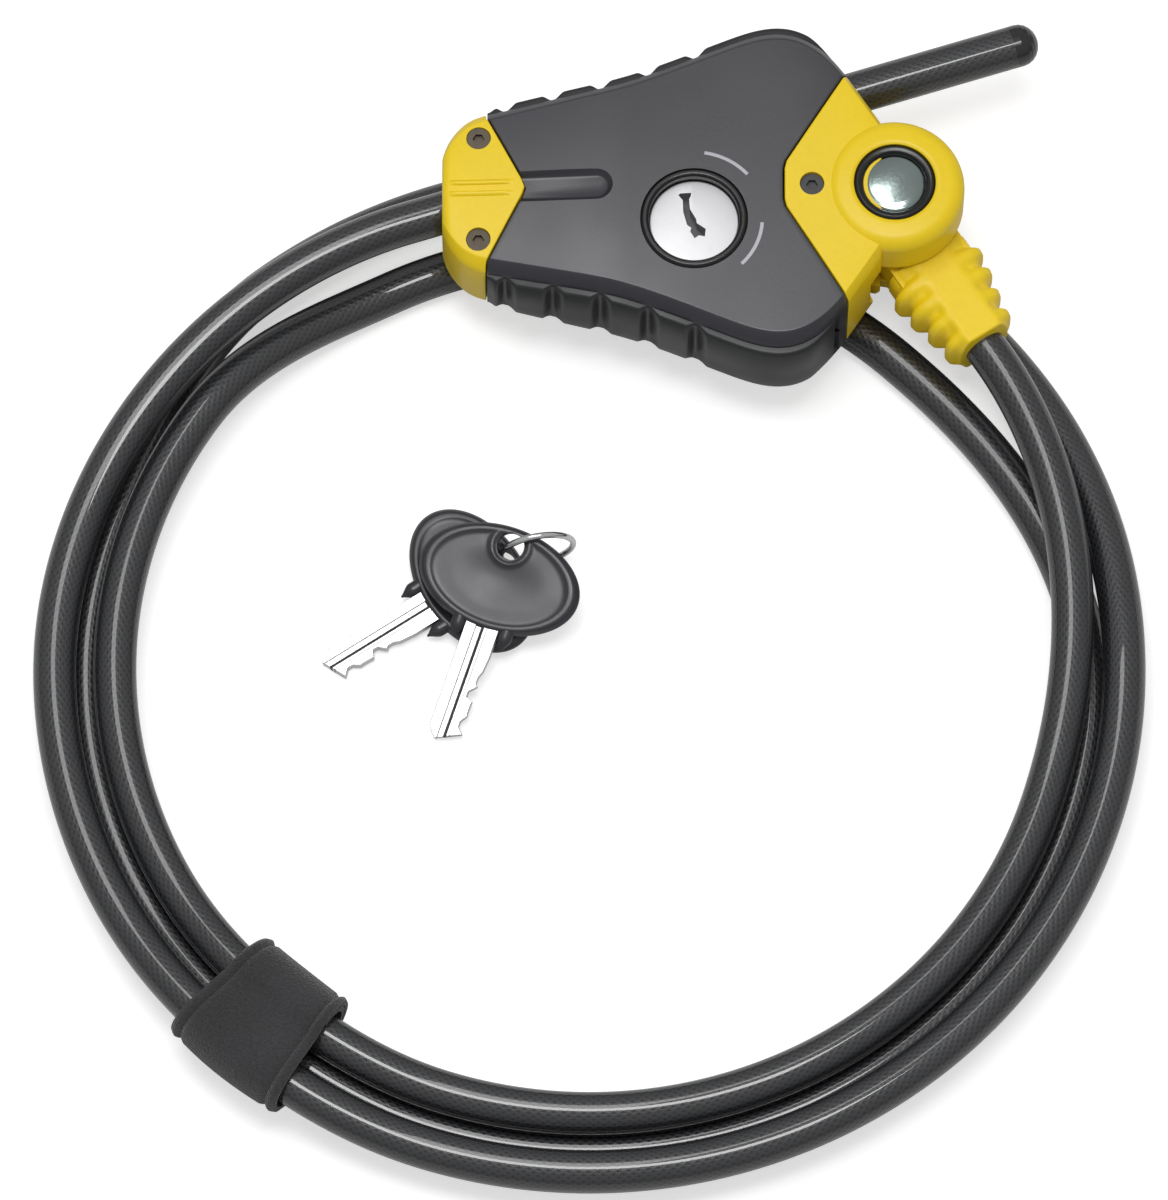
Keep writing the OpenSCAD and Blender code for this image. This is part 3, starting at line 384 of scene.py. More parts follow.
def make_strap():
    """Hook-and-loop tape round three strands, with its end lapped over and a raised border."""
    inner, thick, wrap, lap_at = CABLE_R + 0.95, 1.15, 1.2, 0.22
    n, m = 150, 45
    base, girth = even(strap_outline(inner), n, wrap)
    mid = np.array([93.4, 0.5 * (HIGH + LOW) + HUMP])
    span = math.degrees(STRAP_W / 93.4)
    wave = np.random.default_rng(4).normal(size=(5, 4))
    outs = [strap_out(base, j, mid) for j in range(n)]
    sheets = []
    for outer in (False, True):
        sheet = np.zeros((n, m, 3))
        for i in range(m):
            v = i / (m - 1)
            a = math.radians(STRAP_AT + span * (v - 0.5))
            edge = min(v, 1 - v) * STRAP_W
            lip = 0.3 * math.exp(-((edge - 0.9) / 0.5) ** 2) - 0.55 * math.exp(-((edge - 2.1) / 0.4) ** 2)
            belly = 0.5 * math.sin(math.pi * v) ** 0.5
            for j in range(n):
                t = wrap * j / (n - 1)
                lap = smooth((t - (wrap - lap_at) + 0.04) / 0.06) * 1.2 if t > wrap - 0.3 else 0.0
                fuzz = 0.12 * sum(math.sin(w[0] * 9 * t + w[1] * 5 * v + w[2] * 3) * 0.35 for w in wave)
                off = lap + belly + (thick + lip + fuzz if outer else 0.2 * math.exp(-edge))
                r, z = base[j] + outs[j] * off
                sheet[j, i] = (C[0] + r * math.cos(a), C[1] + r * math.sin(a), z)
        sheets.append(sheet)
    o = pillow("strap_band", sheets[1], sheets[0], "lock_head", 60)
    return o, girth * wrap


strap, strap_girth = make_strap()
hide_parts("strap")
tuple(coil_point(LEAD_SWEEP) * MM)

# ---------------------------------------------------------------- head
SEAM = 0.28
GRIP_SEAT, SEAT_EASE = 2.2, 0.4
V_LEFT = [(-31.6, 0), (-32.1, 1.5), (-38.8, 14.6), (-38.8, 60)]


def left_v(y):
    """x of the left V joint at y."""
    xs, ys = zip(*V_LEFT)
    return float(np.interp(abs(y), ys, xs))


def right_v(y):
    """x of the right V joint at y."""
    return 16.9 + max(0.0, abs(y) - 4) / 1.6


def settle(v, shift, w_in, p, most=1e9):
    """x where a line at share p of the width, less w_in, meets a V joint."""
    x = v(0)
    for _ in range(60):
        x = 0.6 * x + 0.4 * min(most, v(p * (float(half_width(x)) - w_in)) + shift)
    return x


def columns(x0, x1, n):
    """Places from x0 to x1 with close ones by both ends, and how far each is from its nearer end."""
    near = np.array([0, 0.05, 0.15, 0.3, 0.55, 0.8, 1.0]) * EDGE_R
    span = x1 - x0
    if span < 4 * EDGE_R:
        near = near * span / (4 * EDGE_R)
    inner = np.linspace(near[-1], span - near[-1], n)[1:-1]
    d = np.concatenate([near, inner, span - near[::-1]])
    return x0 + d, np.minimum(d, span - d)


def eased(d, r):
    """Drop of a rounded edge of radius r at a distance d from it."""
    d = np.clip(d, 0, r)
    return r - np.sqrt(np.maximum(0, r * r - (r - d) ** 2))


FACE_ROWS = np.sin(np.linspace(-math.pi / 2, math.pi / 2, 61))
# the head's rim, from the face's edge outwards and down: a tight edge, then a steep slope
RIM = np.array([(0, 0), (0.08, 0.01), (0.2, 0.06), (0.36, 0.17), (0.7, 0.5), (1.2, 1.02), (1.7, 1.62),
                (2.1, 2.2), (ROLL_W, 2.8)])


def head_lines():
    """The sheet's lines from one wall over the face to the other: share of the width, kind and rim step."""
    side = [(1.0, "wall", None), (1.0, "wall_top", None)] + [(1.0, "rim", step) for step in RIM[::-1][:-1]]
    far = [(-p, kind, step) for p, kind, step in side]
    return far + [(p, "face", None) for p in FACE_ROWS] + side[::-1]


def head_sheet(x_left, x_right, sign, seat=None, n=70, end_round=0):
    """Outer skin of the upper (sign 1) or lower (sign -1) half, from wall to wall, in lines along the head.

    x_left and x_right say where a line at a share of the width ends. seat is how far the wall steps in.
    """
    rows = []
    for p, kind, step in head_lines():
        w_in = ROLL_W if kind == "face" else ROLL_W - step[0] if kind == "rim" else 0
        x0, x1 = x_left(p, w_in), x_right(p, w_in)
        x, d = columns(x0, x1, n)
        w = half_width(x)
        top = face_z(x)
        drop = eased(d, EDGE_R)
        if end_round:
            drop = np.maximum(drop, eased(x - x0, end_round))
        inset = 0 if seat is None else seat(x)
        if kind == "face":
            y, z = p * (w - ROLL_W), top - crown(p) - drop
        elif kind == "rim":
            share = step[1] / (ROLL_H - crown(1))
            y = np.sign(p) * (w - ROLL_W + step[0] - drop * share)
            z = top - crown(1) - step[1] - drop * (1 - share)
        else:
            y = np.sign(p) * (w - inset - drop)
            z = top - ROLL_H if kind == "wall_top" else np.full_like(x, MID)
        z = np.maximum(z, MID)
        rows.append(np.stack([x, y, z if sign > 0 else HEAD_T - z], 1))
    return np.array(rows)


def seat(x):
    """How far the wall steps in behind the grips."""
    return GRIP_SEAT * smooth((x + 39.0) / SEAT_EASE) * smooth((26.6 - x) / SEAT_EASE)


SHELL_END = 30.4


def shell_left(p, w_in):
    return settle(left_v, SEAM, w_in, p)


def shell_right(p, w_in):
    return settle(right_v, -SEAM, w_in, p, SHELL_END)


def flat_under(sheet, z):
    """The flat side of a half shell, under its skin."""
    n, m = sheet.shape[:2]
    out = sheet.copy()
    share = np.linspace(-1, 1, n)[:, None]
    out[:, :, 2] = z
    inner = GRIP_SEAT + 0.1
    out[:, :, 1] = share * (half_width(sheet[:, :, 0]) - inner)
    for j in range(n):
        y = out[j, :, 1]
        x0 = left_v(float(y[0])) + SEAM
        x1 = min(SHELL_END, right_v(float(y[-1])) - SEAM)
        t = (sheet[j, :, 0] - sheet[j, 0, 0]) / (sheet[j, -1, 0] - sheet[j, 0, 0])
        out[j, :, 0] = x0 + t * (x1 - x0)
        out[j, :, 1] = share[j] * (half_width(out[j, :, 0]) - inner)
    return out


def prism(name, outline, z0, z1):
    outline = np.asarray(outline, float)
    lo = np.concatenate([outline, np.full((len(outline), 1), z0)], 1)
    hi = np.concatenate([outline, np.full((len(outline), 1), z1)], 1)
    return loft(name, [lo, hi], None)


def circle(r, centre=(0, 0), steps=96):
    a = np.linspace(0, 2 * math.pi, steps, endpoint=False)
    return np.stack([centre[0] + r * np.cos(a), centre[1] + r * np.sin(a)], 1)


def pill_outline(half, x0, x1, steps=24):
    a = np.linspace(-math.pi / 2, math.pi / 2, steps)
    end = np.stack([x1 + half * np.cos(a), half * np.sin(a)], 1)
    return np.concatenate([[[x0, -half]], end, [[x0, half]]])


BACK_SCREWS = ((-27, -9.2), (11.2, -22), (8, 24.8))


def bore_rod(x0, x1, r=BORE_R):
    """Cutter along the cable's passage."""
    return rod("bore", on_bore(x0), on_bore(x1), r)


def make_shells():
    top = head_sheet(shell_left, shell_right, 1, seat)
    front = pillow("front_shell_skin", top, flat_under(top, MID), "lock_head")
    cuts = [prism("bezel_hole", circle(10.05, CYLINDER), 19.0, 26)]
    # the pill-shaped channel, with a sloping wall
    floor_d = 1.2
    rings = []
    for grow, z in ((-0.45, -floor_d), (-0.3, -floor_d + 0.1), (0.3, -0.3), (0.6, 0.02), (0.65, 2.0)):
        plan = pill_outline(2.5 + grow, -33.0, -18.2)
        rings.append([(x, y, float(face_z(x)) + z) for x, y in plan])
    cuts += [loft("channel", rings, None), bore_rod(5, 60)]
    cut(front, cuts, folded=True)
    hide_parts("front_shell")
    under = head_sheet(shell_left, shell_right, -1, seat)
    back = pillow("back_shell_skin", under, flat_under(under, MID), "lock_head")
    cuts = [bore_rod(5, 60)] + [prism("screw_hole", circle(2.9, at, 48), -1, 2.1) for at in BACK_SCREWS]
    cut(back, cuts, folded=True)
    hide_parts("back_shell")
    return front, back


front_shell, back_shell = make_shells()


def make_left_cap():
    def x0(p, w):
        return -LEFT

    def x1(p, w):
        return settle(left_v, 0, w, p)
    halves = [head_sheet(x0, x1, s, n=50, end_round=1.6) for s in (1, -1)]
    o = pillow("left_cap_body", halves[0], halves[1], "lock_head")
    cuts = [bore_rod(-60, -20), bore_rod(-60, -45.2, 5.6)]
    for s in (-1, 1):
        z = float(face_z(-40.2)) - 0.8
        cuts.append(prism("screw_hole", circle(2.3, (-40.2, s * 10.2), 48), z - 1.4, 30))
    cut(o, cuts)
    # two light ridges along the axis, with a groove between them
    parts = [o]
    for s in (-1, 1):
        rings = []
        for x in np.linspace(-45.6, -33.6, 26):
            fade = float(smooth((x + 45.7) / 1.2) * smooth((-33.5 - x) / 2.5))
            c = s * (0.6 + 0.45)
            prof = [(-0.5, -0.8), (-0.45, 0.1 * fade), (-0.3, 0.36 * fade), (0, 0.45 * fade),
                    (0.3, 0.32 * fade), (0.6, 0.05 * fade - 0.02), (0.7, -0.8)]
            rings.append([(x, c + s * dy, float(face_z(x)) + dz) for dy, dz in prof][::s])
        parts.append(loft("ridge", rings, None, 60))
    o = join("left_cap_body", parts)
    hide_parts("left_end_cap")
    return o


left_cap = make_left_cap()


BOSS_R = 13.1


def make_right_cap():
    def x0(p, w):
        return settle(right_v, 0, w, p)

    def x1(p, w):
        return 35.0
    halves = [head_sheet(x0, x1, s, n=40) for s in (1, -1)]
    o = pillow("right_cap_body", halves[0], halves[1], None)
    slot_r = 11.0
    cd, sd = math.cos(BOOT_DIR), math.sin(BOOT_DIR)
    turn = np.array([[cd, -sd], [sd, cd]])
    a = np.linspace(math.pi / 2, 3 * math.pi / 2, 40)
    out, back = math.tan(math.radians(12)), math.tan(math.radians(8))
    half_round = slot_r * np.stack([np.cos(a), np.sin(a)], 1)
    plan = np.concatenate([[[60, slot_r + 60 * out]], half_round, [[60, -slot_r - 60 * back]]])
    b = np.radians(np.linspace(-58.1, 61.3, 30))
    rim = BOSS_R * np.stack([np.cos(b), np.sin(b)], 1)
    room = np.concatenate([rim, [[60, 10.15 + 60 * out], [60, -10.15 - 60 * back]]])
    cuts = [prism("slot", plan @ turn.T + SWIVEL[:2], 4.6, 13.8),
            prism("room", room @ turn.T + SWIVEL[:2], -1, 14),
            bore_rod(5, 60), prism("screw_hole", circle(2.3, (22, 0), 48), 21.8, 30)]
    cut(o, cuts)
    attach(o, "lock_head")
    # the boss, turned, with its softened edge and the seat of the ring
    r, top = BOSS_R, HEAD_T + 0.5
    b = np.linspace(0, math.pi / 2, 14)
    prof = [(7.65, top - 2.6), (7.65, top + 0.12), (7.95, top + 0.36), (8.6, top + 0.4)]
    prof += [(r - 3.2 * (1 - math.sin(t)), top + 0.1 - 3.0 * (1 - math.cos(t))) for t in b]
    prof += [(r, 14.6), (r - 0.4, 14.2), (4.05, 14.2), (4.05, top - 2.6)]
    boss = revolve("boss", prof, SWIVEL)
    ear_line = [(4.05, 0.6), (11.2, 0.6), (11.6, 1.0), (11.6, 4.0), (11.4, 4.2), (4.05, 4.2)]
    ear = revolve("ear", ear_line, SWIVEL)
    o = join("right_cap_body", [o, boss, ear])
    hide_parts("right_end_cap")
    return o


right_cap = make_right_cap()

# ---------------------------------------------------------------- grips: lobes between notches
GRIP_FROM, LOBE = -38.6, 2.3
NOTCHES = [-35.2 + 8.9 * k for k in range(5)]


def lobe(x):
    """How far the grip stands out at x."""
    gap = min(abs(x - n) for n in NOTCHES)
    end = float(smooth((27.2 - x) / 6)) * (0.4 + 0.6 * float(smooth((x - GRIP_FROM) / 2.2)))
    return LOBE * float(smooth(gap / 2.2)) * end


def make_grip(s):
    rings = []
    for x in np.linspace(GRIP_FROM, 26.2, 300):
        w = float(half_width(x))
        h = float(face_z(x)) - MID - ROLL_H - 0.15
        inner = w - 2.05
        out = [(inner, h), (inner, -h)]
        for k in range(31):
            t = math.sin(math.pi / 2 * (-1 + k / 15))
            full = 1 - (0.55 if t > 0 else 0.85) * abs(t) ** 3.5
            out.append((w + 0.2 + lobe(x) * full - float(eased(h * (1 - abs(t)), 0.5)), t * h))
        ring = [(x, s * y, MID + z) for y, z in out]
        rings.append(ring[::s])
    o = loft("grip_upper" if s > 0 else "grip_lower", rings, None, 50)
    plan = [(-60, -40), (-38.8, -40), (-38.8, -14.6), (-31.95, -1.5), (-31.95, 1.5), (-38.8, 14.6),
            (-38.8, 40), (-60, 40)]
    cuts = [prism("cap_side", plan, -5, 30)]
    if s > 0:
        cuts.append(bore_rod(5, 60))
    cut(o, cuts, 50)
    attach(o, "lock_head")
    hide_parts("upper_grip" if s > 0 else "lower_grip")
    return o


grips = [make_grip(1), make_grip(-1)]

# ---------------------------------------------------------------- boot


def make_boot():
    ca, sa = math.cos(BOOT_DIR), math.sin(BOOT_DIR)

    def place(d, y, z):
        return (SWIVEL[0] + d * ca - y * sa, SWIVEL[1] + d * sa + y * ca, z)
    rings = []
    pitch = (BOOT_L - BOOT_NECK) / 4
    sides = 72
    lip = 0.35
    rounded = BOOT_L - lip * (1 - np.sin(np.linspace(0.2, math.pi / 2, 6)))
    for d in np.concatenate([np.linspace(BOOT_NECK - 2.2, BOOT_L - lip, 150), rounded]):
        t = max(0.0, (d - BOOT_NECK) / pitch)
        u = abs(t - math.floor(t) - 0.5) * 2
        rib = 1.45 * (float(smooth(1.35 * (1 - u) - 0.1)) - 0.5) if d > BOOT_NECK else -0.6
        wide = 18 + (12.4 - 18) * float(smooth((d - BOOT_NECK) / (BOOT_L - BOOT_NECK)))
        high = 6.1 + (5.6 - 6.1) * max(0, (d - BOOT_NECK) / (BOOT_L - BOOT_NECK))
        end = float(eased(BOOT_L - d, 0.5)) if BOOT_L - d < 0.5 else 0
        ring = []
        for i in range(sides):
            a = 2 * math.pi * (i + 0.5) / sides
            c = math.copysign(abs(math.cos(a)) ** 0.62, math.cos(a))
            q = math.copysign(abs(math.sin(a)) ** 0.62, math.sin(a))
            y = (wide / 2 + rib - end) * c
            z = (high + rib * 0.35 - end) * q
            # a smooth raised spine along the top and the bottom
            ridge = float(smooth((4.9 - abs(y)) / 1.6))
            if abs(q) > 0.3:
                z = z * (1 - ridge) + math.copysign(6.35 - end, q) * ridge
            ring.append(place(d, y, SWIVEL_Z + z))
        rings.append(ring)
    body = loft("boot_body", rings, None, 60)
    eye_line = [(7.1, 4.9), (10.2, 4.9), (10.6, 5.3), (10.6, 13.1), (10.2, 13.5), (7.1, 13.5)]
    eye = revolve("eye", eye_line, SWIVEL)
    neck = []
    for d in (6.0, BOOT_NECK + 1.0):
        neck.append([place(d, y, z) for y, z in ((-7.5, 4.9), (7.5, 4.9), (7.5, 12.3), (-7.5, 12.3))])
    neck = loft("neck", neck, None)
    o = join("boot_body", [body, eye, neck])
    clean(o, 60)
    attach(o, "swivel")
    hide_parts("boot")
    return o


boot = make_boot()

# ---------------------------------------------------------------- key plug
PLUG_R, STEM_R, PLUG_TOP = 8.4, 6.5, 22.0
KEYWAY = [(-2.6, 5.75), (-0.5, 5.9), (-0.6, 5.2), (-0.9, 4.6), (-0.75, 2.6), (0.4, 0.6), (0.5, -0.2),
          (2.2, -1.4), (2.0, -2.9), (0.9, -2.7), (0.1, -3.3), (-0.7, -1.9), (-0.5, -1.2), (-1.3, -0.6),
          (-2.0, 2.0), (-2.1, 4.4), (-2.9, 5.4)]
KEYWAY_LEAN = math.radians(18)
PIN_R, PIN_TOP, PIN_PITCH, PIN_N = 1.3, 17.6, 2.9, 4


def solid_of_turn(name, outline, centre, steps=128):
    """A solid turned about a vertical line: outline is (radius, z) pairs that start and end on the line."""
    verts, faces = [], []
    for r, z in outline:
        ring = circle(r, centre, steps) if r else centre[None]
        verts += [(x, y, z) for x, y in ring]
    last = len(outline) - 2
    for k in range(last + 1):
        lo, hi = (1 + (k - 1) * steps if k else 0), 1 + k * steps
        for i in range(steps):
            j = (i + 1) % steps
            if k == 0:
                faces.append((0, hi + j, hi + i))
            elif k == last:
                faces.append((lo + i, lo + j, hi))
            else:
                faces.append((lo + i, lo + j, hi + j, hi + i))
    return link(name, verts, faces, None)


def make_plug():
    """Face disc, stem, clip groove and tail in one, with the keyway and the four chambers of its pins."""
    r = 0.35
    angles = np.linspace(0, math.pi / 2, 7)
    edge = [(PLUG_R - r * (1 - math.cos(t)), PLUG_TOP - r * (1 - math.sin(t))) for t in angles]
    stem = [(2.8, 3.25), (2.8, 5.75), (5.2, 5.75), (5.2, 6.58), (STEM_R, 6.58), (STEM_R, 20.0),
            (PLUG_R, 20.0)]
    o = solid_of_turn("plug_body", [(0, 3.25)] + stem + edge + [(0, PLUG_TOP)], CYLINDER)
    cuts = [prism("keyway", np.array(KEYWAY[::-1]) + CYLINDER, 7.6, PLUG_TOP + 2)]
    way = np.array([math.sin(KEYWAY_LEAN), -math.cos(KEYWAY_LEAN), 0])
    for k in range(PIN_N):
        at = np.array([*CYLINDER, PIN_TOP - PIN_PITCH * k])
        cuts.append(rod("chamber", at + 1.1 * way, at + 7.5 * way, PIN_R, 24))
    cut(o, cuts)
    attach(o, "plug")
    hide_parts("key_plug")
    return o


plug = make_plug()

# ---------------------------------------------------------------- keys
BOW_OFF, BOW_ALONG, BOW_ACROSS = 6.4, 10, 15.5
KEY_LEN = BOW_OFF + BOW_ALONG + 22
# heights of the bows' holes: the rear key lies low, and the front key lies over it
REAR_LIFT, BOW_HALF = 2.6, 1.4
K2Z = FLOOR_Z + REAR_LIFT + BOW_HALF
K1Z = K2Z + 6.8
TIP_Z = FLOOR_Z + 1 + 0.05


def key_frame(hole, heading, z):
    """A key's turn and place: its bow's hole at height z, and its tip down on the floor."""
    tilt = math.asin((z - TIP_Z) / KEY_LEN)
    m = Matrix.Rotation(math.radians(heading), 3, "Z") @ Matrix.Rotation(tilt, 3, "Y")
    return np.array(m), np.array([hole[0], hole[1], z])


def make_bow(name, node, body, hole, heading, z):
    """Oval bow: a thin web, dished on both faces inside a rounded rim, with a low ring round the hole."""
    m, at = key_frame(hole, heading, z)
    rings_r = np.concatenate([np.linspace(0.02, 0.74, 40), np.linspace(0.76, 1.0, 20)])
    n = 200
    verts, faces = [], []
    a = np.linspace(0, 2 * math.pi, n, endpoint=False)

    def height(t, x, y):
        dish = 0.72 + 0.4 * float(smooth(t / 0.62))
        rim = 0.35 * math.exp(-((t - 0.89) / 0.055) ** 2)
        edge = 1.25 * (1 - max(0, (t - 0.9) / 0.1) ** 2.2) if t > 0.9 else 99
        eye = 0.4 * math.exp(-((math.hypot(x + BOW_OFF, y) - 3.5) / 0.5) ** 2)
        return min(dish + max(rim, eye), edge + 0.15, BOW_HALF)
    for s in (1, -1):
        base = len(verts)
        for t in rings_r:
            for q in a:
                x, y = t * BOW_ALONG * math.cos(q), t * BOW_ACROSS * math.sin(q)
                zz = height(t, x, y) * s if t < 1 else 0.25 * s
                verts.append((BOW_OFF + x, y, zz))
        k = len(rings_r)
        for j in range(k - 1):
            for i in range(n):
                c, d = base + j * n + i, base + j * n + (i + 1) % n
                faces.append((c, d, d + n, c + n)[::-s])
        faces.append(tuple(base + i for i in range(n))[::s])
    k = (len(rings_r) - 1) * n
    off = len(rings_r) * n
    for i in range(n):
        faces.append((k + i, k + off + i, k + off + (i + 1) % n, k + (i + 1) % n))
    o = link(name, verts, faces, None, 60)
    cut(o, [prism("hole", circle(2.6, (0, 0), 64), -4, 4)], 60)
    # shoulders beside the blade's root
    parts = [o]
    for s in (-1, 1):
        rings = []
        for x in np.linspace(14.6, 19.2, 10):
            q = float(smooth((19.4 - x) / 2.6))
            c, hw, hh = s * 4.6, 1.3 * q + 0.15, 1.25 * q + 0.1
            turns = np.linspace(0, 2 * math.pi, 20, endpoint=False)
            rings.append([(x, c + hw * math.cos(b), hh * math.sin(b)) for b in turns])
        parts.append(loft("shoulder", rings, None, 60))
    o = join(name, parts)
    co = np.array([v.co for v in o.data.vertices])
    co = co / MM @ m.T + at
    o.data.vertices.foreach_set("co", (co * MM).astype(np.float32).ravel())
    o.data.update()
    clean(o, 60)
    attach(o, body)
    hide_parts(node)
    return o


KEY1 = ((-34.1, -64.4), -110, K1Z)
KEY2 = ((-35.9, -65.0), -148, K2Z)
bow1 = make_bow("bow_front", "key_1_bow", "first_key", *KEY1)
bow2 = make_bow("bow_rear", "key_2_bow", "second_key", *KEY2)


# ---------------------------------------------------------------- materials
def rgb(h):
    """Linear colour of a hex colour."""
    v = [int(h[i:i + 2], 16) / 255 for i in (1, 3, 5)]
    return tuple(c / 12.92 if c <= 0.04045 else ((c + 0.055) / 1.055) ** 2.4 for c in v) + (1,)


def surface(name, colour, rough, metal=0.0, coat=0.0, coat_rough=0.03, ior=1.5, grain=600.0, bump=0.1,
            depth=0.00003, tint=0.12, patch=60.0, rough_swing=0.08, sheen=0.0, uv=False):
    """A moulded, metal or fabric finish, with patchy colour, fine grain and uneven roughness."""
    m = bpy.data.materials.new(name)
    m.use_nodes = True
    nt = m.node_tree
    b = nt.nodes["Principled BSDF"]
    b.inputs["Metallic"].default_value = metal
    b.inputs["IOR"].default_value = ior
    b.inputs["Coat Weight"].default_value = coat
    b.inputs["Coat Roughness"].default_value = coat_rough
    b.inputs["Sheen Weight"].default_value = sheen
    tc = nt.nodes.new("ShaderNodeTexCoord")
    mp = nt.nodes.new("ShaderNodeMapping")
    nt.links.new(tc.outputs["UV" if uv else "Object"], mp.inputs["Vector"])
    big = nt.nodes.new("ShaderNodeTexNoise")
    big.inputs["Scale"].default_value = patch
    big.inputs["Detail"].default_value = 4
    fine = nt.nodes.new("ShaderNodeTexNoise")
    fine.inputs["Scale"].default_value = grain
    fine.inputs["Detail"].default_value = 6
    for t in (big, fine):
        nt.links.new(mp.outputs["Vector"], t.inputs["Vector"])
    ramp = nt.nodes.new("ShaderNodeValToRGB")
    c = rgb(colour)
    ramp.color_ramp.elements[0].position = 0.3
    ramp.color_ramp.elements[1].position = 0.7
    ramp.color_ramp.elements[0].color = tuple(v * (1 - tint) for v in c[:3]) + (1,)
    ramp.color_ramp.elements[1].color = tuple(min(1, v * (1 + tint)) for v in c[:3]) + (1,)
    both = nt.nodes.new("ShaderNodeMix")
    both.data_type = "FLOAT"
    both.inputs[0].default_value = 0.5
    nt.links.new(big.outputs["Fac"], both.inputs[2])
    nt.links.new(fine.outputs["Fac"], both.inputs[3])
    nt.links.new(both.outputs[0], ramp.inputs["Fac"])
    nt.links.new(ramp.outputs["Color"], b.inputs["Base Color"])
    rr = nt.nodes.new("ShaderNodeMapRange")
    rr.inputs["From Min"].default_value = 0.3
    rr.inputs["From Max"].default_value = 0.7
    rr.inputs["To Min"].default_value = max(0.02, rough - rough_swing)
    rr.inputs["To Max"].default_value = min(1, rough + rough_swing)
    nt.links.new(big.outputs["Fac"], rr.inputs["Value"])
    nt.links.new(rr.outputs["Result"], b.inputs["Roughness"])
    bp = nt.nodes.new("ShaderNodeBump")
    bp.inputs["Strength"].default_value = bump
    bp.inputs["Distance"].default_value = depth
    nt.links.new(fine.outputs["Fac"], bp.inputs["Height"])
    nt.links.new(bp.outputs["Normal"], b.inputs["Normal"])
    return m


def cable_surface(name):
    """Clear smoked vinyl over braided steel: a glossy coat over a dull, cross-laid braid."""
    m = surface(name, "#2a2b2e", 0.45, 0.2, 1.0, 0.04, grain=900, bump=0.45, depth=0.00012, tint=0.15,
                patch=90, rough_swing=0.06, uv=True)
    nt = m.node_tree
    b = nt.nodes["Principled BSDF"]
    b.inputs["Coat IOR"].default_value = 1.5
    tc = next(n for n in nt.nodes if n.type == "TEX_COORD")
    waves = []
    for turn in (32, -32):
        mp = nt.nodes.new("ShaderNodeMapping")
        mp.inputs["Rotation"].default_value = (0, 0, math.radians(turn))
        nt.links.new(tc.outputs["UV"], mp.inputs["Vector"])
        w = nt.nodes.new("ShaderNodeTexWave")
        w.wave_type = "BANDS"
        w.inputs["Scale"].default_value = 330
        w.inputs["Distortion"].default_value = 0.6
        w.inputs["Detail"].default_value = 1
        nt.links.new(mp.outputs["Vector"], w.inputs["Vector"])
        waves.append(w)
    mx = nt.nodes.new("ShaderNodeMath")
    mx.operation = "MAXIMUM"
    nt.links.new(waves[0].outputs["Fac"], mx.inputs[0])
    nt.links.new(waves[1].outputs["Fac"], mx.inputs[1])
    ramp = next(n for n in nt.nodes if n.type == "VALTORGB")
    braid = nt.nodes.new("ShaderNodeMix")
    braid.data_type = "RGBA"
    braid.inputs[6].default_value = rgb("#0b0b0c")
    nt.links.new(mx.outputs[0], braid.inputs[0])
    nt.links.new(ramp.outputs["Color"], braid.inputs[7])
    nt.links.new(braid.outputs[2], b.inputs["Base Color"])
    bp = next(n for n in nt.nodes if n.type == "BUMP")
    nt.links.new(mx.outputs[0], bp.inputs["Height"])
    return m


def weave(m, scale):
    """Adds a plain weave to a fabric's bump."""
    nt = m.node_tree
    bp = next(n for n in nt.nodes if n.type == "BUMP")
    mp = next(n for n in nt.nodes if n.type == "MAPPING")
    vor = nt.nodes.new("ShaderNodeTexVoronoi")
    vor.inputs["Scale"].default_value = scale
    nt.links.new(mp.outputs["Vector"], vor.inputs["Vector"])
    fine = [n for n in nt.nodes if n.type == "TEX_NOISE"][1]
    add = nt.nodes.new("ShaderNodeMath")
    add.operation = "ADD"
    nt.links.new(vor.outputs["Distance"], add.inputs[0])
    nt.links.new(fine.outputs["Fac"], add.inputs[1])
    nt.links.new(add.outputs[0], bp.inputs["Height"])
    return m


def marked(m, colour, centre, heading, tests):
    """Paints a colour where every test holds, in a flat frame about centre.

    A test is a value, its middle and half its range. The values are z, r, turn in degrees, and along and
    side, which are places along and across the heading.
    """
    nt = m.node_tree
    b = nt.nodes["Principled BSDF"]
    tc = next(n for n in nt.nodes if n.type == "TEX_COORD")

    def node(op, *values):
        n = nt.nodes.new("ShaderNodeMath")
        n.operation = op
        for k, v in enumerate(values):
            if isinstance(v, (int, float)):
                n.inputs[k].default_value = v
            else:
                nt.links.new(v, n.inputs[k])
        return n.outputs[0]
    sep = nt.nodes.new("ShaderNodeSeparateXYZ")
    nt.links.new(tc.outputs["Object"], sep.inputs[0])
    x = node("SUBTRACT", sep.outputs["X"], float(centre[0] * MM))
    y = node("SUBTRACT", sep.outputs["Y"], float(centre[1] * MM))
    c, t = math.cos(math.radians(heading)), math.sin(math.radians(heading))
    values = {
        "along": node("ADD", node("MULTIPLY", x, c), node("MULTIPLY", y, t)),
        "side": node("ADD", node("MULTIPLY", x, -t), node("MULTIPLY", y, c)),
        "turn": node("ARCTAN2", y, x),
        "r": node("SQRT", node("ADD", node("MULTIPLY", x, x), node("MULTIPLY", y, y))),
        "z": sep.outputs["Z"],
    }
    mask = 1.0
    for key, middle, half in tests:
        unit = math.pi / 180 if key == "turn" else MM
        mask = node("MULTIPLY", mask, node("COMPARE", values[key], middle * unit, half * unit))
    mix = nt.nodes.new("ShaderNodeMix")
    mix.data_type = "RGBA"
    nt.links.new(mask, mix.inputs[0])
    nt.links.new(b.inputs["Base Color"].links[0].from_socket, mix.inputs[6])
    mix.inputs[7].default_value = rgb(colour)
    nt.links.new(mix.outputs[2], b.inputs["Base Color"])


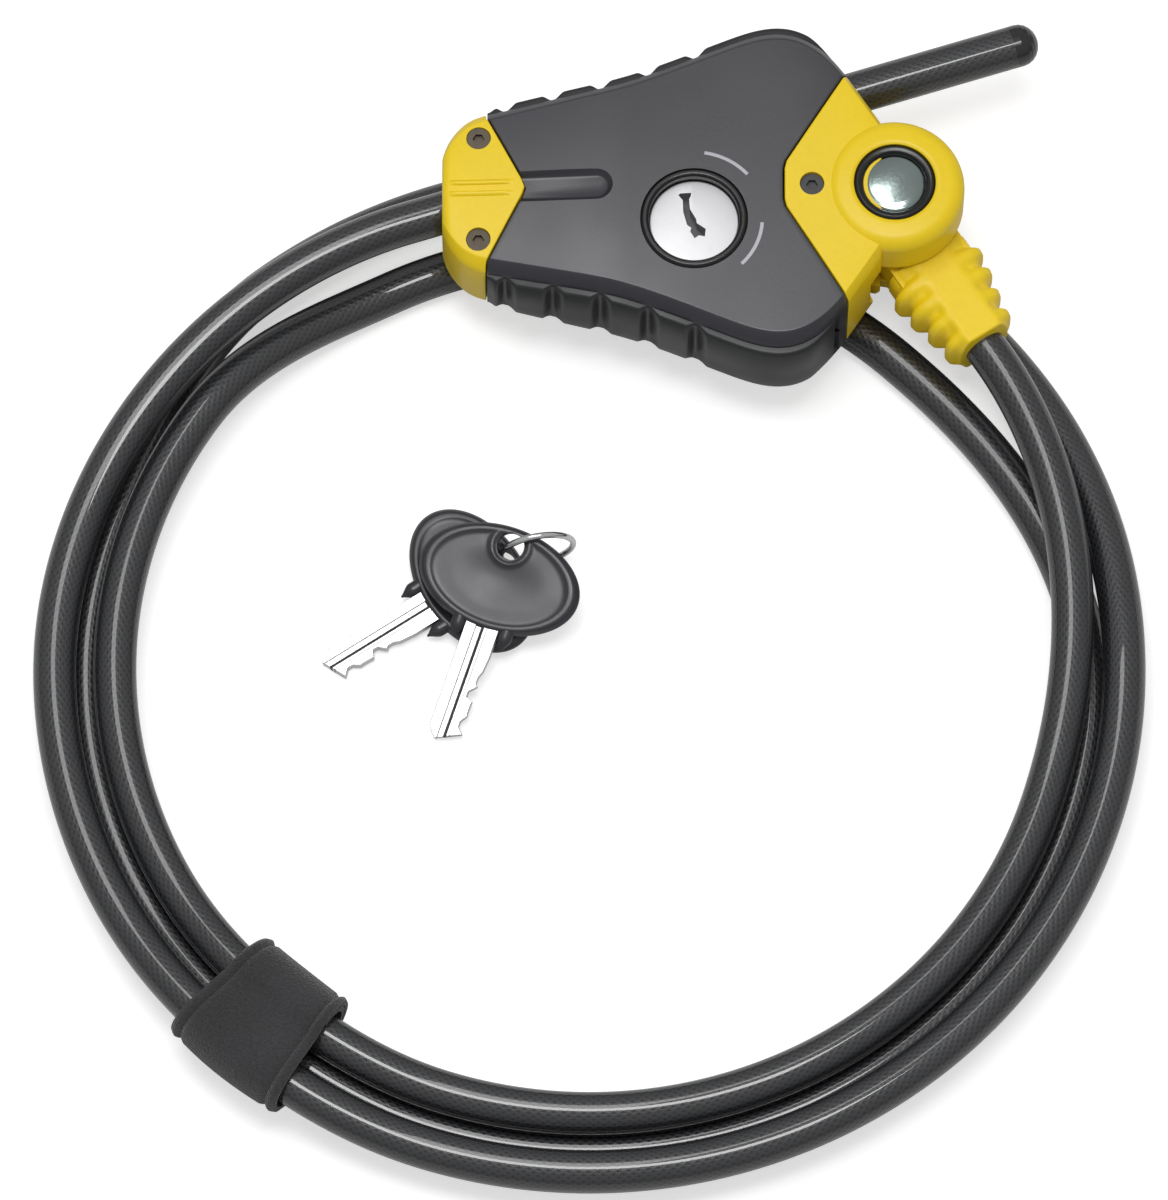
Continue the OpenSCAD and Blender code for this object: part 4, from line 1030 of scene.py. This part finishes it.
M = {
    "shell": surface("moulded_black", "#28282f", 0.37, ior=1.66, grain=1600, bump=0.25, depth=0.00005,
                     tint=0.1, rough_swing=0.05),
    "grip": surface("grip_rubber", "#1f2022", 0.42, grain=1300, bump=0.2, depth=0.00004, tint=0.12),
    "yellow": surface("moulded_yellow", "#e8c814", 0.42, ior=1.45, grain=900, bump=0.12, tint=0.04,
                      rough_swing=0.06),
    "boot": surface("boot_yellow", "#eaca1a", 0.45, ior=1.45, grain=900, bump=0.15, tint=0.05),
    "cable": cable_surface("vinyl_over_braid"),
    "tip": surface("vinyl_cap", "#141416", 0.16, coat=0.5, grain=500, bump=0.05),
    "strap": weave(surface("hook_and_loop", "#2f2f31", 0.9, grain=1900, bump=0.8, depth=0.00025, tint=0.6,
                           patch=75, sheen=0.25), 2600),
    "steel": surface("bright_steel", "#b9babb", 0.28, 1.0, grain=900, bump=0.08, tint=0.08),
    "dull_steel": surface("drawn_steel", "#8d8f92", 0.4, 1.0, grain=900, bump=0.1, tint=0.1),
    "cast": surface("cast_metal", "#9b9ea2", 0.5, 1.0, grain=500, bump=0.3, depth=0.00006, tint=0.12),
    "brass": surface("brass", "#c9a86a", 0.3, 1.0, grain=700, bump=0.08, tint=0.1),
    "plug": surface("plug_nickel", "#c6c6c8", 0.55, 1.0, grain=1200, bump=0.05, tint=0.03),
    "dome": surface("polished_dome", "#93a09d", 0.22, 1.0, grain=160, bump=0.3, depth=0.0004, tint=0.12,
                    rough_swing=0.05),
    "trim": surface("gloss_black", "#0e0e10", 0.3, grain=500, bump=0.03, tint=0.1),
    "ring": surface("wire_nickel", "#d9dadb", 0.15, 1.0, grain=900, bump=0.05, tint=0.05),
    "key_1": surface("first_key_nickel", "#dcdcdc", 0.4, 1.0, grain=900, bump=0.05, tint=0.04),
    "key_2": surface("second_key_nickel", "#dcdcdc", 0.4, 1.0, grain=900, bump=0.05, tint=0.04),
    "screw": surface("aged_screw", "#5a5349", 0.5, 1.0, grain=900, bump=0.1, tint=0.15),
    "dark_screw": surface("blackened_screw", "#48484a", 0.55, 0.6, grain=900, bump=0.1, tint=0.15),
    "bow": surface("bow_black", "#303035", 0.33, grain=800, bump=0.1, tint=0.15),
}
for turn, half, r in ((61.5, 20, 13.3), (-25, 21, 12.7)):
    marked(M["shell"], "#a9a9b0", CYLINDER, 0, (("r", r, 0.32), ("turn", turn, half), ("z", 23.5, 1.5)))
# dark and grey stripes along each key's blade: painted shade of the grooves milled along it
for k, (hole, heading, z) in (("key_1", KEY1), ("key_2", KEY2)):
    marked(M[k], "#2c2c2e", hole, heading, (("side", 0.2, 0.28), ("along", 27, 11.5)))
    marked(M[k], "#9a9a9c", hole, heading, (("side", 1.0, 0.16), ("along", 27, 11.5)))
PIECES = {"shell": [front_shell, back_shell], "grip": grips, "yellow": [left_cap, right_cap],
          "boot": [boot], "plug": [plug], "cable": [cable, lead], "strap": [strap], "bow": [bow1, bow2]}
CARRIED = {"tip": ["cable_tip"], "steel": ["housing_screws", "swivel_pin"], "screw": ["left_cap_screws"],
           "dark_screw": ["right_cap_screw"], "dull_steel": ["pin_springs", "gripper_springs", "plug_clip"],
           "cast": ["lock_core", "tail_cam", "gripper", "swivel_eye"],
           "brass": ["cylinder_housing", "key_pins", "driver_pins"], "dome": ["boss_dome"],
           "trim": ["cylinder_ring", "boss_ring"],
           "key_1": ["key_1_blade"], "key_2": ["key_2_blade"], "ring": ["key_ring"]}
for k, objs in PIECES.items():
    for o in objs:
        o.data.materials.clear()
        o.data.materials.append(M[k])


def soften(o, width, angle=30):
    """Weld the carried piece's faces together and round its edges a little."""
    w = o.modifiers.new("weld", "WELD")
    w.merge_threshold = 2e-6
    b = o.modifiers.new("round", "BEVEL")
    b.width = width * MM
    b.segments = 2
    b.limit_method = "ANGLE"
    b.angle_limit = math.radians(angle)
    n = o.modifiers.new("normals", "WEIGHTED_NORMAL")
    n.keep_sharp = True


for k, names in CARRIED.items():
    for n in names:
        for material_slot in NODES[n].material_slots:
            material_slot.material = M[k]
for n, w in (("cylinder_ring", 0.12), ("boss_ring", 0.1), ("key_1_blade", 0.12), ("key_2_blade", 0.12),
             ("left_cap_screws", 0.1), ("right_cap_screw", 0.1), ("housing_screws", 0.1)):
    soften(NODES[n], w)

# ---------------------------------------------------------------- floor and light
def stage():
    me = bpy.data.meshes.new("floor")
    half, z = 3.0, FLOOR_Z * MM
    corners = [(-half, -half, z), (half, -half, z), (half, half, z), (-half, half, z)]
    me.from_pydata(corners, [], [(0, 1, 2, 3)])
    o = bpy.data.objects.new("floor", me)
    scene.collection.objects.link(o)
    m = bpy.data.materials.new("floor")
    m.use_nodes = True
    nt = m.node_tree
    b = nt.nodes["Principled BSDF"]
    b.inputs["Base Color"].default_value = (0.65, 0.65, 0.65, 1)
    b.inputs["Roughness"].default_value = 0.9
    b.inputs["Specular IOR Level"].default_value = 0.0
    lp = nt.nodes.new("ShaderNodeLightPath")
    b.inputs["Emission Color"].default_value = (1, 1, 1, 1)
    mul = nt.nodes.new("ShaderNodeMath")
    mul.operation = "MULTIPLY"
    mul.inputs[1].default_value = 0.56
    nt.links.new(lp.outputs["Is Camera Ray"], mul.inputs[0])
    nt.links.new(mul.outputs[0], b.inputs["Emission Strength"])
    me.materials.append(m)
    w = bpy.data.worlds.new("world")
    scene.world = w
    w.use_nodes = True
    nt = w.node_tree
    bg = nt.nodes["Background"]
    bg.inputs["Color"].default_value = (1, 1, 1, 1)
    tc = nt.nodes.new("ShaderNodeTexCoord")
    xyz = nt.nodes.new("ShaderNodeSeparateXYZ")
    nt.links.new(tc.outputs["Generated"], xyz.inputs[0])
    sky = nt.nodes.new("ShaderNodeMapRange")
    sky.interpolation_type = "SMOOTHSTEP"
    for k, v in (("From Min", 0.15), ("From Max", 0.5), ("To Min", 0.3), ("To Max", 0.5)):
        sky.inputs[k].default_value = v
    nt.links.new(xyz.outputs["Z"], sky.inputs["Value"])
    lp = nt.nodes.new("ShaderNodeLightPath")
    mx = nt.nodes.new("ShaderNodeMath")
    mx.operation = "MAXIMUM"
    nt.links.new(lp.outputs["Is Camera Ray"], mx.inputs[0])
    nt.links.new(sky.outputs["Result"], mx.inputs[1])
    nt.links.new(mx.outputs[0], bg.inputs["Strength"])


def softbox(name, x, y, size, radiance):
    """A flat lamp that looks straight down from 2 m, with a given brightness of its face."""
    data = bpy.data.lights.new(name, "AREA")
    data.shape = "RECTANGLE"
    data.size, data.size_y = size
    data.energy = radiance * 4 * size[0] * size[1]
    o = bpy.data.objects.new(name, data)
    scene.collection.objects.link(o)
    o.location = (x, y, 2.0)


stage()
softbox("key", -0.02, -0.16, (0.9, 0.45), 9.0)
softbox("sheen", -0.36, 0.40, (0.78, 0.8), 3.5)
